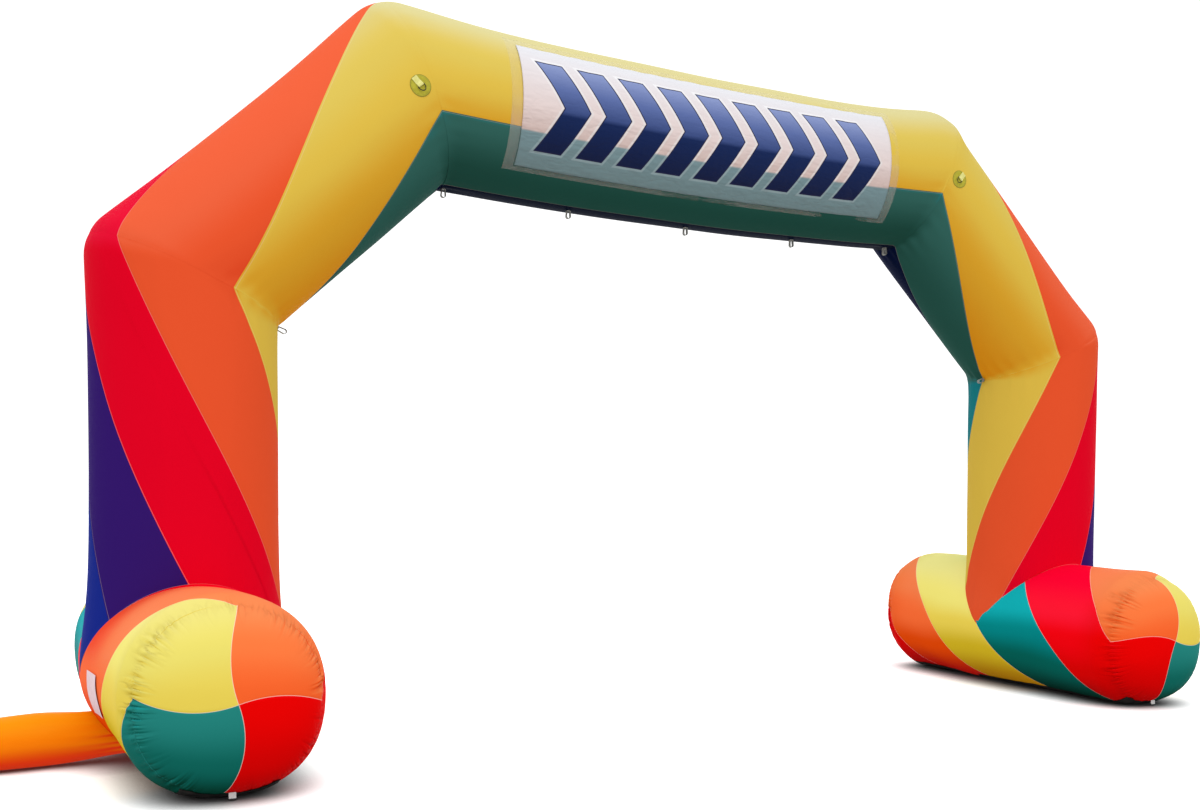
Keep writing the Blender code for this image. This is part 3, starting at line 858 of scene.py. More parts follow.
@dataclass(frozen=True)
class Webbing:
    """Woven tape: crossed diagonal ribs with painted shade in the valleys between them, a little
    soiled.
    """

    name: str
    colour: Rgb
    dark: Rgb
    pitch: float = 0.0016
    roughness: float = 0.70

    def material(self) -> Material:
        """Make the material.

        Returns:
            Two crossed sine waves on Object coordinates give the ribs their height
            and painted shade in their valleys, and a slow noise soils the tape.
        """
        nodes = Nodes(self.name)
        x, y, z = nodes.parts(nodes.place())
        turn = 2.0 * math.pi / self.pitch
        ribs = ((x + z) * turn).sine() * ((x - z + y) * turn).sine()
        soil = nodes.noise(nodes.place(), 60.0, 3.0)
        # Painted shade in the valleys between the ribs, mixed with the soiling.
        shade = (ribs * 0.25 + 0.5) * 0.6 + soil * 0.4
        colour = nodes.mix(shade.step(0.15, 0.85), self.dark, self.colour)
        rough = self.roughness + (soil - 0.5) * 0.2
        return nodes.shade(Base_Color=colour, Roughness=rough,
                           Normal=nodes.bump(ribs, 0.0003, 0.6), Specular_IOR_Level=0.3)


@dataclass(frozen=True)
class MouldedPlastic:
    """Dark moulded plastic with a faint grain and rubbed bright spots."""

    name: str = "ring_plastic"
    colour: Rgb = (0.012, 0.012, 0.013)
    worn: Rgb = (0.035, 0.034, 0.030)

    def material(self) -> Material:
        """Make the material.

        Returns:
            A fine grain in the bump, and wear where a slow noise is high.
        """
        nodes = Nodes(self.name)
        wear = nodes.noise(nodes.place(), 90.0, 3.0)
        grain = nodes.noise(nodes.place(), 1500.0, 1.0)
        colour = nodes.mix(wear.step(0.5, 0.8), self.colour, self.worn)
        return nodes.shade(Base_Color=colour, Roughness=0.45 + wear * 0.2,
                           Normal=nodes.bump(grain, 0.0001, 0.4), Specular_IOR_Level=0.2)


@dataclass(frozen=True)
class PlainCloth:
    """One-colour cloth with painted shade in its hollows and a visible weave."""

    name: str
    colour: Rgb
    hollow: Rgb
    roughness: float = 0.60
    blotch_scale: float = 18.0
    weave_scale: float = 600.0
    crease: float = 0.002

    def material(self) -> Material:
        """Make the material.

        Returns:
            Blotches pick the tone, with painted shade where they are low, and they and the weave
            make the bump.
        """
        nodes = Nodes(self.name)
        blotch = nodes.noise(nodes.place(), self.blotch_scale, 3.0)
        # Painted shade: the hollow tone goes where the blotch bump is low.
        colour = nodes.mix(blotch.step(0.35, 0.70), self.hollow, self.colour)
        weave = nodes.bump(nodes.noise(nodes.place(), self.weave_scale, 1.0), 0.0004, 0.4)
        normal = nodes.bump(blotch, self.crease, 0.5, weave)
        rough = self.roughness + (blotch - 0.5) * 0.2
        return nodes.shade(Base_Color=colour, Roughness=rough, Normal=normal,
                           Specular_IOR_Level=0.10)


@dataclass(frozen=True)
class PatchCloth:
    """Round reinforcement: a pale middle, a darker rim and a ring of stitches."""

    name: str = "patch_cloth"
    radius: float = 0.062
    stitch_inset: float = 0.010
    stitches: float = 90.0
    cloth: Rgb = (0.44, 0.395, 0.036)
    hollow: Rgb = (0.36, 0.325, 0.026)
    rim: Rgb = (0.25, 0.23, 0.030)
    thread: Rgb = (0.24, 0.22, 0.030)

    def material(self) -> Material:
        """Make the material.

        Returns:
            U is the distance from the patch's middle and V the angle in turns.  The
            rim and the stitch ring are darker than the cloth inside them.
        """
        nodes = Nodes(self.name)
        away, turn = nodes.cloth_uv()
        rim = away.step(self.radius - 0.006, self.radius - 0.003)
        ring = abs(away - (self.radius - self.stitch_inset)).step(0.0014, 0.0006)
        dashes = (turn * (2.0 * math.pi * self.stitches)).sine().above(-0.3)
        blotch = nodes.noise(nodes.place(), 45.0, 2.0)
        colour = nodes.mix(blotch.step(0.3, 0.7), self.hollow, self.cloth)
        colour = nodes.mix(rim, colour, self.rim)
        colour = nodes.mix(ring * dashes, colour, self.thread)
        weave = nodes.noise(nodes.place(), 700.0, 1.0)
        return nodes.shade(Base_Color=colour, Roughness=0.50 + blotch * 0.2,
                           Normal=nodes.bump(weave, 0.0004, 0.4), Specular_IOR_Level=0.1)


@dataclass(frozen=True)
class SleeveCloth:
    """Light orange nylon with painted light and shade: yellower where it faces up and redder
    where it faces down, inside too.
    """

    name: str = "sleeve_cloth"
    # Painted light and shade: the orange where the cloth faces down, sideways and up.
    under: Rgb = (0.92, 0.040, 0.002)
    side: Rgb = (0.95, 0.215, 0.001)
    top: Rgb = (0.86, 0.300, 0.001)

    def material(self) -> Material:
        """Make the material.

        Returns:
            Three oranges by how far the cloth looks up, painted as its light and shade, with long
            soft creases.
        """
        nodes = Nodes(self.name)
        # Painted light and shade by how far the cloth faces up.
        up = nodes.upward()
        colour = nodes.mix(up.step(-0.75, 0.05), self.under, self.side)
        colour = nodes.mix(up.step(0.0, 0.95), colour, self.top)
        crease = nodes.noise(nodes.stretched((0.35, 1.0, 1.0)), 22.0, 2.0)
        weave = nodes.bump(nodes.noise(nodes.place(), 700.0, 1.0), 0.0003, 0.3)
        normal = nodes.bump(crease, 0.004, 0.5, weave)
        rough = 0.45 + (crease - 0.5) * 0.2
        return nodes.shade(Base_Color=colour, Roughness=rough, Normal=normal,
                           Specular_IOR_Level=0.04)


# --------------------------------------------------------------------- pieces
def add_object(name: str, data: Any) -> Piece:
    """Put a mesh, a lamp or a camera into the scene.

    Args:
        name: the object's name.
        data: what it holds.

    Returns:
        The object.
    """
    made = bpy.data.objects.new(name, data)
    bpy.context.scene.collection.objects.link(made)
    return made


def show(mesh: bpy.types.Mesh, material: Material, node: str) -> Piece:
    """Put a finished mesh into the scene in place of its frame node.

    Args:
        mesh: the mesh, already in place.
        material: its finish.
        node: the frame node that it stands for.

    Returns:
        The piece, which rides on the arch.
    """
    piece = add_object(mesh.name, mesh)
    mesh.materials.append(material)
    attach(piece, BODY)
    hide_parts(node)
    LOG.info("%s: %d faces", piece.name, len(mesh.polygons))
    return piece


def thicken(piece: Piece, thickness: float, towards: Sequence[float], face: int = 0) -> None:
    """Give a sheet its wall with Solidify.

    Args:
        piece: the sheet.
        thickness: the wall's thickness.
        towards: the side of the sheet that the wall grows to, as a direction.
        face: number of the face where that direction holds.
    """
    wall = piece.modifiers.new("wall", "SOLIDIFY")
    wall.thickness = thickness
    along_normal = piece.data.polygons[face].normal.dot(Vector(towards)) > 0.0
    wall.offset = 1.0 if along_normal else -1.0
    wall.use_even_offset = True


@dataclass(frozen=True)
class SeamLine:
    """A colour seam that winds along a tube, in degrees round it."""

    start: float
    end: float
    bow: float = 0.0

    def angle(self, share: Array) -> Array:
        """Straight blend of both ends, plus a parabola that is bow high half way."""
        return (self.start * (1.0 - share) + self.end * share
                + self.bow * 4.0 * share * (1.0 - share))


@dataclass(frozen=True)
class EndForm:
    """How far a foot's end stands out from a round one: beside, on top, at its corners."""

    side: float
    top: float
    high: float
    low: float

    def swell(self, turn: Array) -> Array:
        """How far the end stands out.

        Args:
            turn: angle round the foot in radians.

        Returns:
            Powers of sine and cosine, each largest in the direction it is named for.
        """
        sine = np.sin(turn)
        corner = 4.0 * np.cos(turn) ** 2
        up, down = np.maximum(0.0, sine), np.maximum(0.0, -sine)
        return (self.side * np.cos(turn) ** 4 + self.top * up ** 4
                + corner * (self.high * up ** 2 + self.low * down ** 2))


@dataclass(frozen=True)
class FootPlace:
    """Where a foot stands, how far it is turned, and the forms of its two ends."""

    side: Side
    turn_deg: float
    front: EndForm
    back: EndForm
    rounds: int = 8

    def form(self, end: End) -> EndForm:
        """The form of one end."""
        return self.front if end is End.FRONT else self.back

    def to_row(self, points: Array) -> Array:
        """Bring points of the foot's own frame into the row frame.

        Args:
            points: places, with x, y, z on the last axis.

        Returns:
            The points turned about Z and moved to the foot.
        """
        turn = math.radians(self.turn_deg)
        x, y, z = np.moveaxis(points, -1, 0)
        turned = x * math.cos(turn) - y * math.sin(turn)
        return np.stack([turned + self.side.value * FOOT_X + ARCH_X,
                         x * math.sin(turn) + y * math.cos(turn), z], axis=-1)

    def to_foot(self, points: Array) -> Array:
        """Bring points of the row frame into the foot's own frame.

        Args:
            points: places, with x, y, z on the last axis.

        Returns:
            The points moved to the row's middle and turned back about Z.
        """
        turn = math.radians(self.turn_deg)
        x, y, z = np.moveaxis(points, -1, 0)
        x = x - ARCH_X - self.side.value * FOOT_X
        return np.stack([x * math.cos(turn) + y * math.sin(turn),
                         y * math.cos(turn) - x * math.sin(turn), z], axis=-1)

    def swell(self, turn: Array, along: Array) -> Array:
        """How far the barrel stands out from a plain round one.

        Args:
            turn: angle round the foot.
            along: distance along it from its middle.

        Returns:
            A squared cosine times a bell beside the leg, plus the form of the nearer
            end, which sets in softly.
        """
        beside = JUNCTION_BULGE * np.cos(turn) ** 2 * bump_at(along, JUNCTION_REACH)
        ends = np.where(along < 0.0, self.front.swell(turn), self.back.swell(turn))
        return beside + ends * smooth_step(FORM_START, FORM_FULL, np.abs(along))

    def rise(self, across: Array, along: Array, radius: Array | float, way: float) -> Array:
        """Height of the barrel's skin over its axis, at a distance across.

        Args:
            across: distance to the side of the axis.
            along: distance along it.
            radius: plain radius there.
            way: 1 for the upper side and -1 for the lower one.

        Returns:
            The height of the circle through that point; the swell changes the radius,
            so it is worked out again a few times.
        """
        height = np.sqrt(np.maximum(radius ** 2 - across ** 2, 0.0))
        for _ in range(self.rounds):
            full = radius + self.swell(np.arctan2(way * height, across), along)
            height = np.sqrt(np.maximum(full ** 2 - across ** 2, 0.0))
        return way * height

    def saddle_height(self, points: Array) -> Array:
        """Height of the foot's upper side over points of the row frame."""
        local = self.to_foot(points)
        return FOOT_AXIS_HEIGHT + self.rise(local[..., 0], local[..., 1], FOOT_RADIUS, 1.0)


FEET = {
    Side.LEFT: FootPlace(Side.LEFT, 1.0, EndForm(-0.018, 0.000, 0.002, 0.018),
                         EndForm(-0.032, 0.016, 0.000, 0.010)),
    Side.RIGHT: FootPlace(Side.RIGHT, -2.5, EndForm(-0.024, -0.016, -0.012, 0.022),
                          EndForm(-0.030, 0.024, 0.024, -0.005)),
}


@dataclass
class AirTube:
    """A banded air tube between two seam planes.

    Angle 0 is the front and +90 degrees the outside of the arch.
    """

    name: str
    start: Array
    end: Array
    start_seam: Array
    end_seam: Array
    outside: Array
    radius: float
    seams: tuple[SeamLine, ...]
    rows: int
    foot: FootPlace | None = None
    sag: float = 0.0
    start_flare: float = 0.0
    base_bulge: Pair = (0.0, 0.0)
    outer_gain: Pair = (0.0, 0.0)
    inner_gain: Pair = (0.0, 0.0)
    corner_bulge: Pair = (0.0, 0.0)
    corner_reach: Pair = (0.35, 0.35)
    corner_dip: Pair = (0.0, 0.0)
    outer_bend: Pair = (0.34, 0.34)
    band_columns: int = 40
    band_crowding: float = 0.9
    row_crowding: float = 0.6
    groove_depth: float = 0.0012
    groove_width: float = 0.008
    mitre_depth: float = 0.0008
    mitre_width: float = 0.008
    fold_height: float = 0.0022
    fold_reach: float = 0.055
    fold_waves: Waves = (22, 40)
    fold_least: float = 0.12
    inner_bend: float = 0.05
    front_bend: float = 0.90
    swell: float = 0.0011
    swell_waves: Waves = (2, 6)
    swell_wind: float = 0.9
    drift_waves: Waves = (2, 5)
    drift_rate: float = 0.6
    sewn_reach: float = 0.004
    ease_reach: float = 0.16
    dip_reach: float = 0.11
    foot_rounds: int = 12
    axis: Array = field(init=False)
    outward: Array = field(init=False)
    length: float = field(init=False)

    def __post_init__(self) -> None:
        """Work out the tube's length, axis and outward direction."""
        span = self.end - self.start
        self.length = float(np.linalg.norm(span))
        self.axis = span / self.length
        side = np.array([-self.axis[2], 0.0, self.axis[0]])
        self.outward = side if side @ self.outside > 0.0 else -side

    def arm(self, angle: Array) -> Array:
        """Unit direction from the axis: front times cosine plus outward times sine."""
        turn = np.radians(angle)[..., None]
        return FORWARD * np.cos(turn) + self.outward * np.sin(turn)

    def reach(self, arm: Array, anchor: Array, normal: Array, trim: float) -> Array:
        """How far along the axis a side line meets a seam plane."""
        return (trim - (self.start + arm - anchor) @ normal) / (self.axis @ normal)

    def smooth_radius(self, angle: Array, share: Array) -> Array:
        """Radius of the plain form.

        Args:
            angle: degrees round the tube.
            share: 0 at the first seam plane and 1 at the second.

        Returns:
            The tube's radius, the leg's small flare and wider base, the fullness of
            the outer and inner side, bells at the outer corners with a dip on the
            mitre, and ends that ease to the size of the neighbouring tube.
        """
        to_end = (1.0 - share) * self.length
        to_start = share * self.length
        ease = bump_at(to_end, self.ease_reach)
        if self.foot is None:
            ease = ease + bump_at(to_start, self.ease_reach)
        sine = np.sin(np.radians(angle))
        outer = self.outer_gain[0] * (1.0 - share) + self.outer_gain[1] * share
        for bulge, reach, dip, away in zip(self.corner_bulge, self.corner_reach,
                                           self.corner_dip, (to_start, to_end)):
            outer = outer + bulge * bump_at(away, reach) - dip * bump_at(away, self.dip_reach)
        inner = self.inner_gain[0] * (1.0 - share) + self.inner_gain[1] * share
        radius = (self.radius - (self.radius - TUBE_RADIUS) * ease
                  + self.start_flare * (1.0 - share) ** 2
                  + outer * np.maximum(0.0, sine) ** 2 + inner * np.maximum(0.0, -sine) ** 2)
        if self.foot is not None:
            base = (self.base_bulge[0] * np.maximum(0.0, sine) ** 2
                    + self.base_bulge[1] * np.maximum(0.0, -sine) ** 2)
            radius = (radius + JUNCTION_BULGE * sine ** 2 * bump_at(to_start, JUNCTION_REACH)
                      + base * bump_at(to_start, BASE_REACH))
        return radius - self.rounding(sine, share)

    def rounding(self, sine: Array, share: Array) -> Array:
        """How far the cloth is drawn in where two tubes meet.

        Args:
            sine: sine of the angle round the tube.
            share: 0 at the first seam plane and 1 at the second.

        Returns:
            The depth of a circle that touches both tubes' side lines: wide on the
            outside of a corner and filled out on its inside, where it narrows from
            the front to the innermost line.
        """
        steep = [math.sqrt(1.0 / float(self.axis @ seam) ** 2 - 1.0)
                 for seam in (self.start_seam, self.end_seam)]
        line = self.length + sine * self.radius * sum(steep)
        total = np.zeros_like(share * sine)
        for slope, away, outer_bend in zip(steep, (share * line, (1.0 - share) * line),
                                           self.outer_bend):
            if slope > 0.1:
                inner = self.inner_bend + self.front_bend * (1.0 - np.abs(sine))
                bend = np.where(sine > 0.0, outer_bend, inner)
                half = np.arctan(slope * np.abs(sine))
                past = np.maximum(0.0, bend * np.sin(half) - away)
                total = total + np.sign(sine) * (bend - np.sqrt(bend ** 2 - past ** 2))
        return total

    def skin(self, angle: Array, share: Array, lift: Array | float = 0.0) -> Array:
        """Point of the tube's skin in the row frame.

        Args:
            angle: degrees round the tube.
            share: 0 at the first seam plane and 1 at the second.
            lift: height over the plain form.

        Returns:
            Start, plus the arm, plus the way along a side line from one seam plane
            to the other, less the parabola of the sag.
        """
        arm = self.arm(angle) * (self.smooth_radius(angle, share) + lift)[..., None]
        first = self.reach(arm, self.start, self.start_seam, SEAM_TRIM)
        last = self.reach(arm, self.end, self.end_seam, -SEAM_TRIM)
        along = first + (last - first) * share
        points = self.start + arm + self.axis * along[..., None]
        points = points - UP * (self.sag * 4.0 * share * (1.0 - share))[..., None]
        return points + ARCH_SHIFT

    def over(self, angle: Array, along: Array, lift: Array | float, rounds: int) -> Array:
        """Point over the tube at a distance along its axis.

        Args:
            angle: degrees round the tube.
            along: distance from the tube's start.
            lift: height over the plain form.
            rounds: how often the distance is mended by what is still missing.

        Returns:
            The point in the row frame.
        """
        share = np.full_like(angle, 0.5)
        for _ in range(rounds):
            here = self.skin(angle, share, lift) - ARCH_SHIFT
            share = share + (along - (here - self.start) @ self.axis) / self.length
        return self.skin(angle, share, lift)

    def bands(self, share: Array) -> tuple[Array, Array, Array]:
        """Angle of each column, as the colour seams wind.

        Args:
            share: rows x columns.

        Returns:
            The angle, the distance to the nearest colour seam, and the band number
            with its fraction; inside a band the columns crowd towards both seams.
        """
        lines = [seam.angle(share) for seam in self.seams]
        lines.append(lines[0] + 360.0)
        slopes = [math.cos(math.atan(math.radians(s.end - s.start) * self.radius / self.length))
                  for s in self.seams]
        slopes.append(slopes[0])
        places = crowd_to_ends(self.band_columns, self.band_crowding)[:-1]
        angle = np.empty_like(share)
        gap = np.empty_like(share)
        for k in range(len(self.seams)):
            part = slice(k * self.band_columns, (k + 1) * self.band_columns)
            low, high = lines[k][:, part], lines[k + 1][:, part]
            angle[:, part] = low + (high - low) * places
            near_low = np.radians(angle[:, part] - low) * self.radius * slopes[k]
            near_high = np.radians(high - angle[:, part]) * self.radius * slopes[k + 1]
            gap[:, part] = np.minimum(near_low, near_high)
        count = len(self.seams)
        band = (np.arange(count)[:, None] + places[None, :]).ravel()
        return angle, gap, np.append(band, float(count))

    def foot_share(self, columns: int) -> Array:
        """Where each column starts.

        Args:
            columns: number of columns round the tube.

        Returns:
            A share for each column: on the foot, or else at the first seam plane.
            The foot's height is looked up again in each round.
        """
        share = np.zeros((1, columns))
        if self.foot is not None:
            for _ in range(self.foot_rounds):
                points = self.skin(self.bands(share)[0], share)
                rise = self.foot.saddle_height(points) - points[..., 2]
                share = share + rise / (self.length * self.axis[2])
        return share

    def relief(self, angle: Array, gap: Array, to_start: Array, to_end: Array) -> Array:
        """Height of the cloth's small forms over the plain tube.

        Args:
            angle: degrees round the tube.
            gap: distance to the nearest colour seam.
            to_start: distance to the tube's first end.
            to_end: distance to its second end.

        Returns:
            Narrow valleys along the colour seams and the mitres, folds that start at
            each mitre and are tallest a little way off, and slow uneven swells.
        """
        turn = np.radians(angle)
        seed = sum(ord(letter) for letter in self.name)
        fold = Ripple(seed, *self.fold_waves)
        slow = Ripple(seed + 1, *self.swell_waves)(turn + to_start * self.swell_wind)
        drift = Ripple(seed + 2, *self.drift_waves)(to_start * self.drift_rate)
        height = -self.groove_depth * bump_at(gap, self.groove_width)
        height = height + self.swell * slow * drift
        inner = self.fold_least + np.maximum(0.0, -np.sin(turn)) ** 2
        for away in (to_start, to_end):
            near = away / self.fold_reach
            height = height - self.mitre_depth * bump_at(away, self.mitre_width)
            height = height + self.fold_height * inner * fold(turn) * near * np.exp(1.0 - near)
        return height * (1.0 - bump_at(np.minimum(to_start, to_end), self.sewn_reach))

    def build(self, finish: PanelCloth) -> Piece:
        """Make the tube's closed skin.

        Args:
            finish: its cloth.

        Returns:
            The piece.
        """
        columns = self.band_columns * len(self.seams)
        first = self.foot_share(columns)
        rows = crowd_to_ends(self.rows, self.row_crowding)[:, None]
        share = first + (1.0 - first) * rows
        angle, gap, band = self.bands(share)
        to_start = (share - first) * self.length
        to_end = (1.0 - share) * self.length
        points = self.skin(angle, share, self.relief(angle, gap, to_start, to_end))
        uv_share = np.concatenate([share, share[:, :1]], axis=1)
        uv = np.stack([np.broadcast_to(band, uv_share.shape), uv_share * self.length], axis=-1)
        skin = Skin()
        numbers = skin.grid(points, uv, True)
        skin.fan(numbers[0][::-1], points[0].mean(axis=0), uv[0][::-1])
        skin.fan(numbers[-1], points[-1].mean(axis=0), uv[-1])
        mesh = skin.mesh("cloth_" + self.name)
        if self.foot is not None:
            gap = np.minimum(gap, to_start)
        store(mesh, "seam", np.append(gap.ravel(), (1.0, 1.0)))
        piece = show(mesh, finish.material(), self.name)
        return piece


def store(mesh: bpy.types.Mesh, name: str, values: Array) -> None:
    """Keep a number at each point of a mesh."""
    layer = mesh.attributes.new(name, "FLOAT", "POINT")
    layer.data.foreach_set("value", values.astype(np.float32).ravel())


@dataclass
class ArchFrame:
    """The two legs, two shoulder tubes and the beam."""

    finish: PanelCloth = PanelCloth("tube_cloth", tuple(TUBE_DYES_WITH_PAINTED_SHADE.values()), thread_strength=0.18)
    leg_rows: int = 110
    shoulder_rows: int = 100
    beam_rows: int = 160
    tubes: dict[str, AirTube] = field(default_factory=dict)

    LEG_SEAMS: ClassVar[dict[Side, tuple[SeamLine, ...]]] = {
        Side.LEFT: (SeamLine(-262, -140), SeamLine(-200, -96), SeamLine(-150, -23, -11),
                    SeamLine(-98, 49), SeamLine(-24, 112, -3), SeamLine(40, 162, -2)),
        Side.RIGHT: (SeamLine(-255, -140), SeamLine(-191, -92, -2), SeamLine(-139, -18.5, -6),
                     SeamLine(-81, 58, -6), SeamLine(-15, 108, -3), SeamLine(42, 164, -2)),
    }
    SHOULDER_SEAMS: ClassVar[dict[Side, tuple[SeamLine, ...]]] = {
        Side.LEFT: (SeamLine(-140, -80.5, -2), SeamLine(-96, -20.5, -1),
                    SeamLine(-23, 75.5, -13), SeamLine(49, 150), SeamLine(112, 195),
                    SeamLine(162, 238)),
        Side.RIGHT: (SeamLine(-140, -80.5, -2), SeamLine(-92, -20.5, -3),
                     SeamLine(-18.5, 75.5, -12), SeamLine(58, 150), SeamLine(108, 195),
                     SeamLine(164, 238)),
    }
    LEG_FORM: ClassVar[dict[Side, dict[str, Pair]]] = {
        Side.LEFT: {"outer_gain": (-0.013, -0.0135), "inner_gain": (0.010, 0.0),
                    "corner_bulge": (0.0, 0.0215), "corner_reach": (0.35, 0.37),
                    "base_bulge": (0.013, 0.0)},
        Side.RIGHT: {"outer_gain": (0.014, 0.054), "inner_gain": (-0.006, 0.0),
                     "corner_bulge": (0.0, -0.002), "corner_reach": (0.35, 0.35),
                     "base_bulge": (0.0, 0.006)},
    }
    SHOULDER_FORM: ClassVar[dict[Side, dict[str, Pair]]] = {
        Side.LEFT: {"outer_gain": (-0.005, -0.004), "corner_bulge": (0.013, 0.042),
                    "corner_reach": (0.30, 0.45), "outer_bend": (0.34, 0.36)},
        Side.RIGHT: {"outer_gain": (0.016, -0.022), "corner_bulge": (0.036, 0.070),
                     "corner_reach": (0.25, 0.10), "outer_bend": (0.34, 0.34),
                     "corner_dip": (0.0, 0.030)},
    }
    BEAM_FORM: ClassVar[dict[str, Pair]] = {
        "inner_gain": (0.004, 0.004), "corner_bulge": (0.038, 0.048),
        "corner_reach": (0.43, 0.40), "outer_bend": (0.36, 0.34), "corner_dip": (0.0, 0.030),
    }
    BEAM_SEAMS: ClassVar[tuple[SeamLine, ...]] = tuple(
        SeamLine(angle, angle) for angle in (-80.5, -20.5, 75.5, 150.0, 195.0, 238.0))

    def __post_init__(self) -> None:
        """Lay out the five tubes from the crossings of their axes."""
        shoulder_normals = {}
        for side in Side:
            sign = side.value
            elbow = np.array([sign * ELBOW[0], 0.0, ELBOW[1]])
            shoulder = np.array([sign * SHOULDER[0], 0.0, SHOULDER[1]])
            foot = np.array([sign * FOOT_X, 0.0, FOOT_AXIS_HEIGHT])
            leg_way = unit(elbow - foot)
            slant = unit(shoulder - elbow)
            elbow_seam = unit(leg_way + slant)
            shoulder_seam = unit(slant + np.array([-sign, 0.0, 0.0]))
            outside = np.array([sign, 0.0, 0.5])
            leg = AirTube("leg_" + side.word, foot, elbow, UP, elbow_seam, outside, TUBE_RADIUS,
                          self.LEG_SEAMS[side], self.leg_rows, foot=FEET[side],
                          start_flare=FOOT_RADIUS - TUBE_RADIUS, **self.LEG_FORM[side])
            slope = AirTube("shoulder_" + side.word, elbow, shoulder, elbow_seam, shoulder_seam,
                            outside, SHOULDER_TUBE_RADIUS, self.SHOULDER_SEAMS[side],
                            self.shoulder_rows, **self.SHOULDER_FORM[side])
            self.tubes[leg.name] = leg
            self.tubes[slope.name] = slope
            shoulder_normals[side] = shoulder_seam
        ends = [np.array([side.value * SHOULDER[0], 0.0, SHOULDER[1]]) for side in Side]
        self.tubes["beam"] = AirTube("beam", ends[0], ends[1], shoulder_normals[Side.LEFT],
                                     -shoulder_normals[Side.RIGHT], UP, TUBE_RADIUS,
                                     self.BEAM_SEAMS, self.beam_rows, sag=BEAM_SAG,
                                     **self.BEAM_FORM)

    def build(self) -> None:
        """Make the five tubes."""
        for tube in self.tubes.values():
            tube.build(self.finish)


def unit(vector: Array) -> Array:
    """The vector's direction, of length 1."""
    return vector / np.linalg.norm(vector)


@dataclass(frozen=True)
class Gathers:
    """Creases and soft rolls that run off across a gathered seam.

    Each Waves field holds the fewest and the most waves round the seam.  strength and
    the gains hold a middle value and how far a wave or the place moves it, and last the
    distances where the gathers are gone and where they start to go.
    """

    depth: float = 0.0075
    reach: float = 0.088
    crease_waves: Waves = (30, 56)
    crease_width: float = 0.38
    roll_waves: Waves = (30, 60)
    roll_height: float = 0.50
    strength_waves: Waves = (3, 9)
    strength: Pair = (0.68, 0.32)
    contrast: float = 1.6
    side_gain: Pair = (0.60, 0.45)
    reach_waves: Waves = (8, 22)
    reach_gain: Pair = (0.80, 0.40)
    seam_gain: Pair = (0.75, 0.25)
    deepest: float = 0.018
    last: Pair = (0.170, 0.130)
    fade_power: float = 1.8

    def over(self, turn: Array, away: Array, seed: int) -> tuple[Array, Array]:
        """Form of the gathers.

        Args:
            turn: angle round the seam in radians.
            away: distance from the seam.
            seed: fixes the waves.

        Returns:
            Height, and strength of the puckers from 0 to 1.  Narrow creases lie where
            a wave crosses zero, with soft rolls between them, times a slow strength
            round the seam that is greatest at the sides; a crease is full a little
            way from the seam and dies out over its own length.
        """
        creases = bump_at(Ripple(seed, *self.crease_waves)(turn), self.crease_width)
        rolls = np.tanh(Ripple(seed + 1, *self.roll_waves)(turn))
        slow = np.tanh(Ripple(seed + 2, *self.strength_waves)(turn) * self.contrast)
        strength = self.strength[0] + self.strength[1] * slow
        side = self.side_gain[0] + self.side_gain[1] * np.cos(turn) ** 2
        length = np.tanh(Ripple(seed + 3, *self.reach_waves)(turn))
        reach = self.reach * (self.reach_gain[0] + self.reach_gain[1] * length)
        rise = self.seam_gain[0] + self.seam_gain[1] * smooth_step(0.0, self.deepest, away)
        fade = np.exp(-(away / reach) ** self.fade_power) * smooth_step(*self.last, away)
        full = strength * side * rise * fade
        return self.depth * full * (self.roll_height * rolls - creases), full


